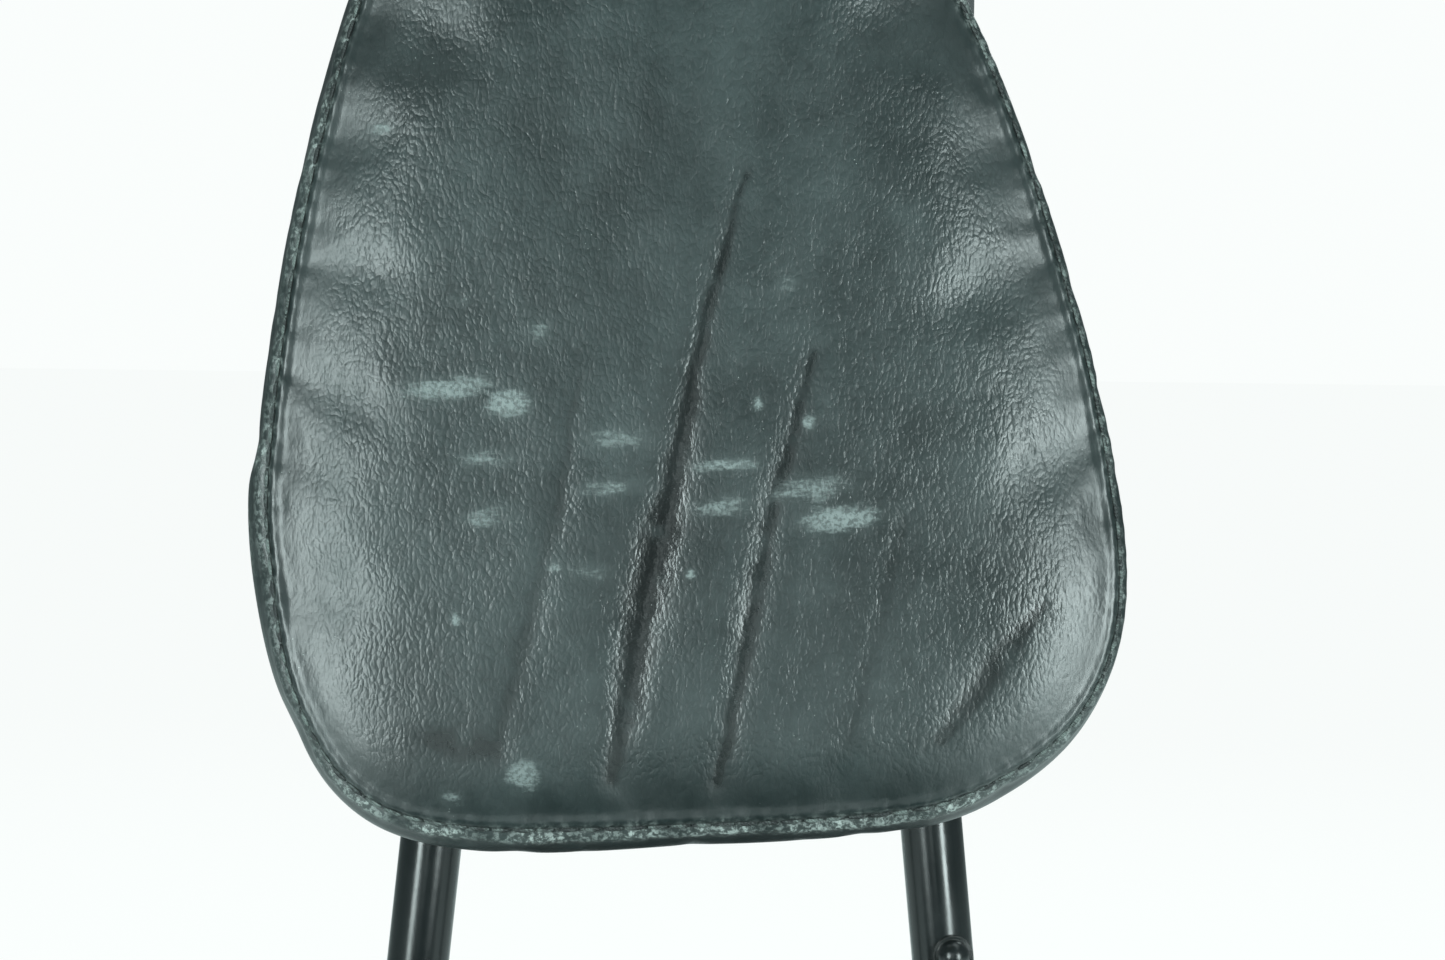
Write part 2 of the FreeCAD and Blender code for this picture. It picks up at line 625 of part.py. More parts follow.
for name, side in SIDES.items():
    x, y = pivot[name]
    shaft_bottom = HUB_TOP - d.arm_hub_height
    shaft_length = DRUM_BOTTOM + d.drum_width - shaft_bottom
    keep(round_bar("sizes.shaft_radius", shaft_length, (x, y, shaft_bottom)), f"pivot_shaft_{name}")

    hub = round_bar("sizes.arm_hub_radius", "sizes.arm_hub_height", (x, y, shaft_bottom))
    hub_bore = round_bar("sizes.shaft_radius", "sizes.arm_hub_height", (x, y, shaft_bottom))
    keep(cut(joined(hub, bent_tube(side)), hub_bore), f"arm_{name}")

    drum = wheel(f"drum_{name}", d.drum_radius, d.drum_width, DRUM_HUB, d.shaft_radius, DRUM_HOLES)
    drum.Placement = Placement(Vector(x, y, DRUM_BOTTOM), Rotation())
    keep(drum, f"cable_drum_{name}")
    first = TOE_IN - WRAP if side > 0 else 180 - TOE_IN
    ring_place = Placement(Vector(x, y, CABLE_HEIGHT), Rotation())
    keep(torus("sizes.drum_radius", first, WRAP, ring_place), f"cable_wrap_{name}")

    drop_x = x + side * d.arm_reach
    back_of_arm = y + d.arm_radius
    plate_x = drop_x - PLATE_SHARE / 2 * d.forearm_width
    plate_z = d.forearm_bottom + PLATE_MARGIN
    plate = box(f"{PLATE_SHARE} * sizes.forearm_width", "sizes.forearm_plate",
                f"sizes.forearm_height - {2 * PLATE_MARGIN}", (plate_x, back_of_arm, plate_z))
    keep(plate, f"forearm_plate_{name}")

    pad_back = back_of_arm + d.forearm_plate
    facing_back = Rotation(Vector(-1, 0, 0), Z, Y, "XYZ")
    upright_pad = Placement(Vector(drop_x, pad_back, d.forearm_bottom), facing_back)
    outline = rounded_rectangle(d.forearm_width / 2, 0, d.forearm_height, FOREARM_CORNER)
    pad = soft_block("forearm", outline, "sizes.forearm_thickness", FOREARM_EDGE, upright_pad)
    keep(pad, f"forearm_pad_{name}")

    levels = (d.forearm_bottom + PAD_SCREW_END, d.forearm_bottom + d.forearm_height - PAD_SCREW_END)
    columns = (drop_x - PAD_SCREW_SIDE, drop_x + PAD_SCREW_SIDE)
    spots = [(column, back_of_arm, level) for column in columns for level in levels]
    heads = [round_bar(SCREW_HEAD, PAD_SCREW_HEAD, spot, (0, -1, 0)) for spot in spots]
    keep(set_of(heads), f"forearm_screws_{name}")

    grip_bottom = d.forearm_bottom + d.forearm_height + GRIP_GAP
    grip = ring("sizes.arm_radius + sizes.grip_thickness", "sizes.arm_radius", "sizes.grip_height",
                (drop_x, y, grip_bottom))
    keep(grip, f"hand_grip_{name}")

# ---------------------------------------------------------------- pulleys and cables
pulley_bore = d.axle_radius + d.running_gap
cheeks, axles, runs, drops = [], [], [], []
CHEEK, CHEEK_TALL, CHEEK_AHEAD = 3, 36, 14
AXLE_CAP = 3
for name, side in SIDES.items():
    way, axis, centre = cable_way(side), pulley_axis(side), pulley_centre(side)
    pulley = wheel(f"pulley_{name}", d.pulley_radius, d.pulley_width, PULLEY_HUB, pulley_bore, 0)
    pulley.Placement = Placement(centre - axis * (d.pulley_width / 2), Rotation(Z, axis))
    keep(pulley, f"pulley_{name}")

    wide = d.crosshead_length
    beam_front = (-wide, d.crosshead_line - d.beam / 2, PULLEY_HEIGHT - wide)
    beyond = box(2 * wide, wide, 2 * wide, beam_front)
    upper = Vector(0, 0, CHEEK_TALL / 2)
    for face in (-1, 1):
        gap = d.pulley_width / 2 + 2 * d.clear_gap
        offset = axis * (face * gap) if face > 0 else axis * (-gap - CHEEK)
        near = centre - way * CHEEK_AHEAD + offset + upper
        slab = box("sizes.crosshead_line - sizes.drop_line + 4 * sizes.pulley_radius", CHEEK, CHEEK_TALL,
                   near, Rotation(way, axis, way.cross(axis), "XYZ"))
        hole_start = centre - axis * (2 * d.pulley_width)
        hole = round_bar("sizes.axle_radius", "4 * sizes.pulley_width", hole_start, axis)
        cheeks.append(cut(slab, beyond, hole))
    axle_length = d.pulley_width + 4 * d.clear_gap + 2 * CHEEK
    middle = centre - axis * (axle_length / 2)
    ends = [round_bar(d.axle_radius + AXLE_CAP, AXLE_CAP, middle - axis * AXLE_CAP, axis),
            round_bar(d.axle_radius + AXLE_CAP, AXLE_CAP, middle + axis * axle_length, axis)]
    axles.append(joined(round_bar("sizes.axle_radius", axle_length, middle, axis), *ends))

    over = Placement(centre, Rotation(way, Z, way.cross(Z), "XYZ"))
    quarter = torus("sizes.pulley_radius", 0, 90, over)
    top = centre + Z * d.pulley_radius
    runs.append(joined(quarter, round_bar("sizes.cable_radius", straight_run, top, way * -1)))

# ---------------------------------------------------------------- weight carriage
STACK_BASE = 8
BUMPER, BUMPER_RADIUS, BUMPER_PLAY = 25, 18, 0.2
BUSH_WALL, BUSH_FLANGE, BUSH_FLANGE_HEIGHT = 4, 7, 3
PIN_DEPTH = 12
stack_floor = BASE_TOP + STACK_BASE
resting_bottom = stack_floor + BUMPER
lifted_bottom = resting_bottom + d.weights_resting * d.weight_thickness + d.clear_gap
head_bottom = lifted_bottom + d.weights_lifted * d.weight_thickness
head_top = head_bottom + d.weight_thickness
ROD_HOLE, STEM_HOLE = 2, 0.5
rod_spots = [(side * d.rod_side, d.crosshead_line) for side in SIDES.values()]
back_of_weights = d.crosshead_line + d.weight_depth / 2


def pin_hole(level):
    """Cross hole for the selector pin, from the back face to beyond the stem."""
    length = d.weight_depth / 2 + PIN_DEPTH
    start = (0, back_of_weights, level + d.weight_thickness / 2)
    return round_bar("sizes.pin_radius + sizes.clear_gap", length, start, (0, -1, 0))


def weight_plate(level):
    corner = (-d.weight_width / 2, d.crosshead_line - d.weight_depth / 2, level)
    plate = box("sizes.weight_width", "sizes.weight_depth", "sizes.weight_thickness", corner)
    thick = "sizes.weight_thickness"
    rods = [round_bar(f"sizes.rod_radius + {ROD_HOLE}", thick, (x, y, level)) for x, y in rod_spots]
    stem = round_bar(f"sizes.stem_radius + {STEM_HOLE}", thick, (0, d.crosshead_line, level))
    return cut(plate, *rods, stem, pin_hole(level))


resting = [resting_bottom + i * d.weight_thickness for i in range(int(d.weights_resting))]
lifted = [lifted_bottom + i * d.weight_thickness for i in range(int(d.weights_lifted))]
keep(set_of([weight_plate(level) for level in resting]), "weight_plates_resting")
keep(set_of([weight_plate(level) for level in lifted]), "weight_plates_lifted")

corner = (-d.weight_width / 2, d.crosshead_line - d.weight_depth / 2, head_bottom)
head_plate = box("sizes.weight_width", "sizes.weight_depth", "sizes.weight_thickness", corner)
bush_radius = f"sizes.rod_radius + {BUSH_WALL}"
bush_holes = [round_bar(bush_radius, "sizes.weight_thickness", (x, y, head_bottom)) for x, y in rod_spots]
stem_hole = round_bar("sizes.stem_radius", "sizes.weight_thickness", (0, d.crosshead_line, head_bottom))
keep(cut(head_plate, *bush_holes, stem_hole), "carriage_plate")

guide_bushes = []
for x, y in rod_spots:
    sleeve = round_bar(bush_radius, "sizes.weight_thickness", (x, y, head_bottom))
    flange = round_bar(f"sizes.rod_radius + {BUSH_FLANGE}", BUSH_FLANGE_HEIGHT, (x, y, head_top))
    whole_height = f"sizes.weight_thickness + {BUSH_FLANGE_HEIGHT}"
    hole = round_bar("sizes.rod_radius + sizes.running_gap", whole_height, (x, y, head_bottom))
    guide_bushes.append(cut(joined(sleeve, flange), hole))
keep(set_of(guide_bushes), "guide_bushes")

STEM_END, STEM_CAP_RADIUS, STEM_CAP = 6, 6, 10
stem_bottom = resting_bottom + STEM_END
stem = round_bar("sizes.stem_radius", head_top - stem_bottom, (0, d.crosshead_line, stem_bottom))
stem_cap = round_bar(f"sizes.stem_radius + {STEM_CAP_RADIUS}", STEM_CAP, (0, d.crosshead_line, head_top))
stem_holes = [round_bar("sizes.pin_radius + sizes.clear_gap", "4 * sizes.stem_radius",
                        (0, d.crosshead_line - 2 * d.stem_radius, level + d.weight_thickness / 2), (0, 1, 0))
              for level in resting[1:] + lifted]
keep(cut(joined(stem, stem_cap), *stem_holes), "selector_stem")

SWAGE, SWAGE_NECK, SWAGE_RADIUS, NECK_RADIUS = 36, 8, 6, 4
swage_top = head_top + SWAGE
swages = []
for side in SIDES.values():
    foot = (side * d.drop_side, d.drop_line, head_top)
    neck = round_bar(NECK_RADIUS, SWAGE, foot)
    swages.append(joined(round_bar(SWAGE_RADIUS, SWAGE - SWAGE_NECK, foot), neck))
keep(set_of(swages), "cable_swages")

PIN_TIP, KNOB_RADIUS, KNOB_NECK, KNOB_LENGTH, KNOB_LIP, KNOB_GAP = 11, 14, 10, 34, 4, 2
pin_level = lifted_bottom + d.weight_thickness / 2
pin_start = (0, d.crosshead_line - PIN_TIP, pin_level)
pin_length = PIN_TIP + d.weight_depth / 2 + KNOB_GAP + KNOB_LIP / 2
knob_start = (0, d.crosshead_line + d.weight_depth / 2 + KNOB_GAP, pin_level)
keep(joined(round_bar("sizes.pin_radius", pin_length, pin_start, (0, 1, 0)),
            round_bar(KNOB_RADIUS, KNOB_LIP, knob_start, (0, 1, 0)),
            round_bar(KNOB_NECK, KNOB_LENGTH, knob_start, (0, 1, 0))), "selector_pin")

corner = (-d.weight_width / 2, d.crosshead_line - d.weight_depth / 2, BASE_TOP)
keep(box("sizes.weight_width", "sizes.weight_depth", STACK_BASE, corner), "stack_base")
rod_length = f"sizes.beam_bottom - {stack_floor}"
bumper_bore = f"sizes.rod_radius + {BUMPER_PLAY}"
rods = [round_bar("sizes.rod_radius", rod_length, (x, y, stack_floor)) for x, y in rod_spots]
bumpers = [ring(BUMPER_RADIUS, bumper_bore, BUMPER, (x, y, stack_floor)) for x, y in rod_spots]
keep(set_of(rods), "guide_rods")
keep(set_of(bumpers), "stack_bumpers")

for side in SIDES.values():
    start = (side * d.drop_side, d.drop_line, swage_top)
    drops.append(round_bar("sizes.cable_radius", PULLEY_HEIGHT - swage_top, start))
keep(set_of(cheeks), "pulley_cheeks")
keep(set_of(axles), "pulley_axles")
keep(set_of(runs), "cable_runs")
keep(set_of(drops), "cable_drops")

# ---------------------------------------------------------------- seat
SEAT_PLATE, SEAT_SPREAD, SEAT_EDGE = 4, 110, 16
SEAT_SCREW_SIDE = 85
POST_BOTTOM = 110
seat_board_bottom = d.seat_top - d.seat_thickness - d.board_thickness
plate_bottom = seat_board_bottom - SEAT_PLATE
sleeve_top = BASE_TOP + d.sleeve_height
liner_side = d.sleeve - 2 * d.sleeve_wall
liner_hole = d.post + 2 * d.clear_gap
LINER_LIP = 4
STUD_GAP = 0.08

sleeve_front = d.seat_line - d.sleeve / 2
BOSS, BOSS_WALL, CLAMP_DEPTH = 15, 6, 12
clamp_start = Vector(0, sleeve_front - BOSS, d.clamp_height)
clamp_hole = round_bar("sizes.stud_radius", BOSS + CLAMP_DEPTH, clamp_start, (0, 1, 0))
boss = round_bar(f"sizes.stud_radius + {BOSS_WALL}", BOSS + 1, clamp_start, (0, 1, 0))
sleeve = square_tube("z", "sleeve", "sleeve_wall", "sizes.sleeve_height", (0, d.seat_line, BASE_TOP))
keep(cut(joined(sleeve, boss), clamp_hole), "seat_sleeve")

liner_bottom = sleeve_top - d.liner_height


def square_bar(side, height, bottom):
    """Solid square bar standing about the seat post's middle line."""
    return box(side, side, height, (-side / 2, d.seat_line - side / 2, bottom))


liner_body = square_bar(liner_side, "sizes.liner_height", liner_bottom)
liner_lip = square_bar(d.sleeve, LINER_LIP, sleeve_top)
liner_bore = square_bar(liner_hole, f"sizes.liner_height + {LINER_LIP}", liner_bottom)
keep(cut(joined(liner_body, liner_lip), liner_bore, clamp_hole), "seat_liner")

post_start = (0, d.seat_line, POST_BOTTOM)
keep(square_tube("z", "post", "bar_wall", plate_bottom - POST_BOTTOM, post_start), "seat_post")

# Four screws hold the board to the plate from below.
seat_screw_spots = [(x, d.seat_line + y) for x in (-SEAT_SCREW_SIDE, SEAT_SCREW_SIDE)
                    for y in (-SEAT_SCREW_SIDE, SEAT_SCREW_SIDE)]
through = f"sizes.board_thickness + {SEAT_PLATE}"
seat_holes = [round_bar(screw_hole, through, (x, y, plate_bottom)) for x, y in seat_screw_spots]
keep(cut(square_bar(2 * SEAT_SPREAD, SEAT_PLATE, plate_bottom), *seat_holes), "seat_plate")
seat_screws = []
for x, y in seat_screw_spots:
    head = round_bar(SCREW_HEAD, SCREW_HEAD_HEIGHT, (x, y, plate_bottom), (0, 0, -1))
    shank = round_bar(SCREW_RADIUS, f"{through} - 1", (x, y, plate_bottom))
    seat_screws.append(joined(head, shank))
keep(set_of(seat_screws), "seat_screws")


def seat_outline(inset):
    return rounded_rectangle(d.seat_width / 2 - inset, inset, d.seat_depth - inset, d.seat_corner - inset)


def seat_place(level):
    return Placement(Vector(0, d.seat_line - d.seat_depth / 2, level), Rotation())


seat_board = new_body("board")
seat_pad = seat_board.newObject("PartDesign::Pad", "thickness")
seat_pad.Profile = sketch_on(seat_board, "XY_Plane", seat_outline(BOARD_INSET))
seat_pad.setExpression("Length", "sizes.board_thickness")
seat_board.Placement = seat_place(seat_board_bottom)
keep(cut(seat_board, *seat_holes), "seat_board")
seat_level = seat_board_bottom + d.board_thickness
seat_pad = soft_block("seat", seat_outline(0), "sizes.seat_thickness", SEAT_EDGE, seat_place(seat_level))
keep(seat_pad, "seat_cushion")

KNOB, KNOB_WIDTH, LOBES, FLUTE_RING, FLUTE = 22, 24, 7, 26, 8
KNOB_AHEAD = 2
knob_face = sleeve_front - BOSS - KNOB_AHEAD
tip = d.seat_line - d.post / 2 - d.clear_gap
knob_middle = (0, knob_face, d.clamp_height)
stud = round_bar(f"sizes.stud_radius - {STUD_GAP}", tip - knob_face, knob_middle, (0, 1, 0))
grip = round_bar(KNOB, KNOB_WIDTH, knob_middle, (0, -1, 0))
flutes = []
for i in range(LOBES):
    angle = 2 * math.pi * i / LOBES
    at = (FLUTE_RING * math.cos(angle), knob_face, d.clamp_height + FLUTE_RING * math.sin(angle))
    flutes.append(round_bar(FLUTE, KNOB_WIDTH, at, (0, -1, 0)))
keep(joined(cut(grip, *flutes), stud), "seat_clamp_knob")

# ---------------------------------------------------------------- check and write
doc.recompute()
failed = [item.Name for item in doc.Objects if {"Invalid", "Error"} & set(item.State)]
if failed:
    raise SystemExit("features that failed: " + ", ".join(failed))
for part in subparts:
    if part.Shape.isNull() or not part.Shape.isValid():
        raise SystemExit("bad shape: " + part.Label)

os.makedirs("parts", exist_ok=True)
for part in subparts:
    part.Shape.exportStep(f"parts/{part.Label}.step")
    space = part.Shape.BoundBox
    volume = part.Shape.Volume / 1000
    corners = "  ".join(f"{low:7.1f} {high:7.1f}" for low, high in
                        ((space.XMin, space.XMax), (space.YMin, space.YMax), (space.ZMin, space.ZMax)))
    print(f"{part.Label:24s} solids {len(part.Shape.Solids):2d}  volume {volume:9.1f} cm3  {corners}")
whole = Part.makeCompound([part.Shape for part in subparts]).BoundBox
print(f"{len(subparts)} sub-parts, {whole.XLength:.0f} x {whole.YLength:.0f} x {whole.ZLength:.0f} mm, "
      f"centre {whole.Center.x:.1f} {whole.Center.y:.1f}, floor {whole.ZMin:.2f}")
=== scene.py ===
# %% [markdown]
# # A pec deck machine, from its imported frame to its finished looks
# The steel frame, arms, weights and joints come from the CAD model and stay exactly where they
# are. This lesson adds what CAD leaves out: stitched leather pads, cable strands, proper screw
# heads, paint, rubber and wear. Everything is in metres, +Z is up and the sitter faces -Y.

# %% Load the frame and keep its box
import math
import random
import bmesh
import bpy
import numpy as np
from mathutils import Matrix, Vector, geometry
from mathutils.kdtree import KDTree


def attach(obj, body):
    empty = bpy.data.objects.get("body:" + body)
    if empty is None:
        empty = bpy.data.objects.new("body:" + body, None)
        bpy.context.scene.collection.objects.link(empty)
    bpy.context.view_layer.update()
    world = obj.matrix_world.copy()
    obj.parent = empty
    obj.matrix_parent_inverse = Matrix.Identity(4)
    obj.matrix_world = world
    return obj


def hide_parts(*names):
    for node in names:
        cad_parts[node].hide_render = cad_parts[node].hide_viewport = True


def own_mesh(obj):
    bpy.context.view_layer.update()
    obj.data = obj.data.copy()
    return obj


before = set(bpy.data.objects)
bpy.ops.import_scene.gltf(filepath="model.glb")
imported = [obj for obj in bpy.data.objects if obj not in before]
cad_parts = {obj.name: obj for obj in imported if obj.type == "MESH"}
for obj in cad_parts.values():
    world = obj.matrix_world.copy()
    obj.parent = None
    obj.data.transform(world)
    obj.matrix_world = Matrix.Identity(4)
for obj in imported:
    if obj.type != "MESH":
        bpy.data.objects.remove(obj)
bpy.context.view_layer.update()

MM = 0.001
scene = bpy.context.scene

# %% [markdown]
# ## Places to build on
# A backrest is easiest to shape lying flat, as on an upholsterer's bench: X across, Y up the
# back, Z out of its face. One matrix then lays it on the frame. It leans back eight degrees,
# and its screws sit in slots, so it has slipped round by four.

# %% The backrest's bench and where it stands
BACK_FOOT = Vector((0, 20, 570))
RECLINE, TWIST = math.radians(8), math.radians(4)
TURN_CENTRE = Vector((0, 134, 0))
CUSHION = 40


def back_matrix():
    """From the backrest's own millimetres to the machine's metres."""
    lean = Matrix.Rotation(math.pi / 2 - RECLINE, 4, "X")
    spin = Matrix.Rotation(TWIST, 4, "Z") @ Matrix.Translation(-TURN_CENTRE)
    spin = Matrix.Translation(TURN_CENTRE) @ spin
    return Matrix.Scale(MM, 4) @ Matrix.Translation(BACK_FOOT) @ lean @ spin


TO_BACK = back_matrix()
print("backrest middle at", [round(v, 3) for v in TO_BACK @ TURN_CENTRE])

# %% [markdown]
# ## Small helpers
# A finished piece keeps its object at the origin and has its place in its mesh, so patterns on
# Object coordinates stay put. Every piece gets a body to ride on, its material where one is given
# and, where it stands for plain CAD nodes, their names, so that those nodes are hidden.

# %% Helpers for meshes and pieces
collection = bpy.context.collection


def new_object(name, data):
    obj = bpy.data.objects.new(name, data)
    collection.objects.link(obj)
    return obj


def mesh_from(name, points, faces, smooth=True):
    mesh = bpy.data.meshes.new(name)
    mesh.from_pydata([tuple(p) for p in points], [], faces)
    mesh.validate()
    if smooth:
        mesh.shade_smooth()
    return mesh


def neighbours(count):
    """Each place on a closed ring with the one after it."""
    return [(i, (i + 1) % count) for i in range(count)]


def tube_faces(rings, around):
    """Faces of a tube whose points are listed ring by ring, with a flat cap at each end."""
    faces = [(i * around + j, i * around + k, (i + 1) * around + k, (i + 1) * around + j)
             for i in range(rings - 1) for j, k in neighbours(around)]
    last = (rings - 1) * around
    return faces + [tuple(reversed(range(around))), tuple(range(last, last + around))]


def closed_piece(name, points, faces, smooth=True, sharp=None):
    """A new object whose faces all point outwards, with hard edges over sharp degrees."""
    mesh = mesh_from(name, points, faces, smooth)
    whole = bmesh.new()
    whole.from_mesh(mesh)
    bmesh.ops.recalc_face_normals(whole, faces=whole.faces)
    for edge in whole.edges:
        if sharp and len(edge.link_faces) == 2 and edge.calc_face_angle(0) > math.radians(sharp):
            edge.smooth = False
    whole.to_mesh(mesh)
    whole.free()
    return new_object(name, mesh)


def finished(obj, body, slot, *nodes, material=None):
    if material is not None:
        obj.data.materials.clear()
        obj.data.materials.append(material)
    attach(obj, body)
    if nodes:
        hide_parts(*nodes)
    print(f"{obj.name}: {len(obj.data.polygons)} faces on {body}")
    return obj


# %% [markdown]
# ## Writing materials as small graphs
# Every finish here is procedural, and could be wired by hand in the shader editor. Written as
# text, a graph is easier to read back, so short functions stand for the nodes it needs: sums,
# masks, noise, bumps, and a start for a material with its Principled shader. Effects that
# several finishes share are node groups, built once.

# %% Shader helpers
def plug(tree, socket, value):
    """Link the socket to another one, or set it to a plain value."""
    if isinstance(value, bpy.types.NodeSocket):
        tree.links.new(value, socket)
    else:
        socket.default_value = value


def add_node(tree, kind, inputs=(), **settings):
    """A node of a shader, or of any other sort if its kind is written out in full."""
    node = tree.nodes.new(kind if "Node" in kind else "ShaderNode" + kind)
    for key, value in settings.items():
        setattr(node, key, value)
    for key, value in dict(inputs).items():
        plug(tree, node.inputs[key], value)
    return node


def maths(tree, operation, a, b=0.0, clamp=False):
    return add_node(tree, "Math", {0: a, 1: b}, operation=operation, use_clamp=clamp).outputs[0]


def times(tree, a, b, clamp=False):
    return maths(tree, "MULTIPLY", a, b, clamp)


def plus(tree, a, b):
    return maths(tree, "ADD", a, b)


def inverse(tree, value):
    """One less the value, which turns a mask inside out."""
    return maths(tree, "SUBTRACT", 1.0, value)


def ramp(tree, value, low, high):
    """0 below low, 1 above high, smooth between."""
    return add_node(tree, "MapRange", {"Value": value, "From Min": low, "From Max": high},
                    interpolation_type="SMOOTHSTEP").outputs["Result"]


def blend(tree, mask, a, b):
    node = add_node(tree, "Mix", data_type="RGBA")
    for key, value in ((0, mask), (6, a), (7, b)):
        plug(tree, node.inputs[key], value)
    return node.outputs[2]


def noise(tree, vector, scale, detail=4.0, roughness=0.55):
    return add_node(tree, "TexNoise", {"Vector": vector, "Scale": scale, "Detail": detail,
                                       "Roughness": roughness}).outputs["Fac"]


def stretched(tree, vector, scale, turn=(0, 0, 0)):
    return add_node(tree, "Mapping", {"Vector": vector, "Scale": scale, "Rotation": turn}).outputs["Vector"]


def own_place(tree):
    return add_node(tree, "TexCoord").outputs["Object"]


def attribute(tree, name):
    return add_node(tree, "Attribute", attribute_name=name, attribute_type="GEOMETRY").outputs["Fac"]


def bump(tree, height, strength, distance, normal=None):
    inputs = {"Height": height, "Strength": strength, "Distance": distance}
    if normal is not None:
        inputs["Normal"] = normal
    return add_node(tree, "Bump", inputs).outputs["Normal"]


def new_material(name):
    material = bpy.data.materials.new(name)
    material.use_nodes = True
    tree = material.node_tree
    tree.nodes.clear()
    shader = add_node(tree, "BsdfPrincipled")
    add_node(tree, "OutputMaterial", {"Surface": shader.outputs[0]})
    return material, tree, shader


def feed(tree, shader, **sockets):
    """Link or set the shader's inputs; underscores stand for spaces."""
    for key, value in sockets.items():
        plug(tree, shader.inputs[key.replace("_", " ")], value)


def group(name, inputs, outputs, build):
    """A shader node group with named sockets; build links its inside."""
    tree = bpy.data.node_groups.new(name, "ShaderNodeTree")
    for label, kind, value in inputs:
        socket = tree.interface.new_socket(label, in_out="INPUT", socket_type=f"NodeSocket{kind}")
        if value is not None:
            socket.default_value = value
    for label, kind in outputs:
        tree.interface.new_socket(label, in_out="OUTPUT", socket_type=f"NodeSocket{kind}")
    source, sink = tree.nodes.new("NodeGroupInput"), tree.nodes.new("NodeGroupOutput")
    results = build(tree, source.outputs)
    for label, socket in results.items():
        tree.links.new(socket, sink.inputs[label])
    return tree


def use(tree, made, inputs):
    node = add_node(tree, "Group")
    node.node_tree = made
    for key, value in inputs.items():
        plug(tree, node.inputs[key], value)
    return node.outputs


print("materials that came with the frame:", len(bpy.data.materials))


# %% [markdown]
# ## The camera and the light
# A long lens stands a little over a metre in front of the backrest, almost square on, looking
# down three degrees. The studio is a white floor in even white surroundings, with large soft
# lights: a tall bank at each side gives black tubes and worn leather their highlights. The
# surroundings look white to the camera, but light the machine as a dim grey-green room would.

# %% Camera
CAMERA_PLACE = Vector((14.5, -1073.5, 762.0)) * MM
CAMERA_DOWN, CAMERA_ROLL = math.radians(3.0), math.radians(0.7)
FOCAL_MM = 76.0

camera_data = bpy.data.cameras.new("camera")
camera_data.lens = FOCAL_MM
camera_data.sensor_width = 36.0
camera_data.clip_end = 100
camera = new_object("camera", camera_data)
look = Matrix.Rotation(math.pi / 2 - CAMERA_DOWN, 4, "X") @ Matrix.Rotation(CAMERA_ROLL, 4, "Z")
camera.matrix_world = Matrix.Translation(CAMERA_PLACE) @ look
scene.camera = camera
print("camera at", tuple(round(v, 3) for v in CAMERA_PLACE), "lens", FOCAL_MM, "mm")

# %% White surroundings
scene.view_settings.view_transform = "Standard"
STUDIO_WHITE = (0.955, 0.985, 0.975, 1)
ROOM_GREY, ROOM_STRENGTH = (0.46, 0.56, 0.56, 1), 0.32

world = bpy.data.worlds.new("studio")
scene.world = world
world.use_nodes = True
air = world.node_tree
air.nodes.clear()
seen = add_node(air, "Background", {"Color": STUDIO_WHITE, "Strength": 1.0})
lit = add_node(air, "Background", {"Color": ROOM_GREY, "Strength": ROOM_STRENGTH})
rays = add_node(air, "LightPath").outputs["Is Camera Ray"]
either = add_node(air, "MixShader", {"Fac": rays, 1: lit.outputs[0], 2: seen.outputs[0]})
add_node(air, "OutputWorld", {"Surface": either.outputs[0]})
print("room lights at strength", ROOM_STRENGTH)

# %% Soft lights
LAMP_TINT = (0.86, 1.0, 0.99)

# Each soft light: name, place, what it looks at, width, height, watts.
LIGHTS = [
    ("ceiling", (0.0, -0.3, 3.4), (0, 0, 0.6), 3.0, 3.0, 50),
    ("left_bank", (-1.5, -1.95, 0.85), (0, 0, 0.7), 0.6, 1.5, 56),
    ("right_bank", (1.55, -1.95, 0.80), (0, 0, 0.7), 0.55, 1.5, 64),
    ("near_strip", (-0.3, -2.3, 0.9), (0, 0, 0.7), 0.2, 1.8, 4),
    ("behind", (0.4, 3.2, 2.6), (0, 0, 0.8), 3.0, 1.6, 90),
]
for name, place, target, width, height, watts in LIGHTS:
    lamp = bpy.data.lights.new(name, "AREA")
    lamp.shape = "RECTANGLE"
    lamp.size, lamp.size_y, lamp.energy = width, height, watts
    lamp.color = LAMP_TINT
    holder = new_object(name, lamp)
    holder.visible_camera = False
    holder.location = place
    holder.rotation_euler = (Vector(target) - Vector(place)).to_track_quat("-Z", "Y").to_euler()
print("soft lights:", len(LIGHTS))

# %% White floor
FLOOR_HALF, FLOOR_GREY = 40, (0.80, 0.84, 0.83, 1)
GLOW_SHARE, GLOW_STRENGTH = 0.95, 1.02

corners = [(x * FLOOR_HALF, y * FLOOR_HALF, 0) for x, y in ((-1, -1), (1, -1), (1, 1), (-1, 1))]
floor_mesh = mesh_from("floor", corners, [(0, 1, 2, 3)])
new_object("floor", floor_mesh)
paper = bpy.data.materials.new("white_floor")
paper.use_nodes = True
sheet = paper.node_tree
sheet.nodes.clear()
matt = add_node(sheet, "BsdfDiffuse", {"Color": FLOOR_GREY})
glow = add_node(sheet, "Emission", {"Color": STUDIO_WHITE, "Strength": GLOW_STRENGTH})
share = times(sheet, add_node(sheet, "LightPath").outputs["Is Camera Ray"], GLOW_SHARE)
shade = add_node(sheet, "MixShader", {"Fac": share, 1: matt.outputs[0], 2: glow.outputs[0]})
add_node(sheet, "OutputMaterial", {"Surface": shade.outputs[0]})
floor_mesh.materials.append(paper)
print("floor is", 2 * FLOOR_HALF, "m square")

# %% [markdown]
# ## Effects that finishes share
# Wear shows where hands and tools meet edges, so one group finds edges by comparing the face's
# normal with a rounded one. Dust settles in patches. Leather grain is a net of small cells,
# drawn out where the hide was stretched, with fine pores over it.

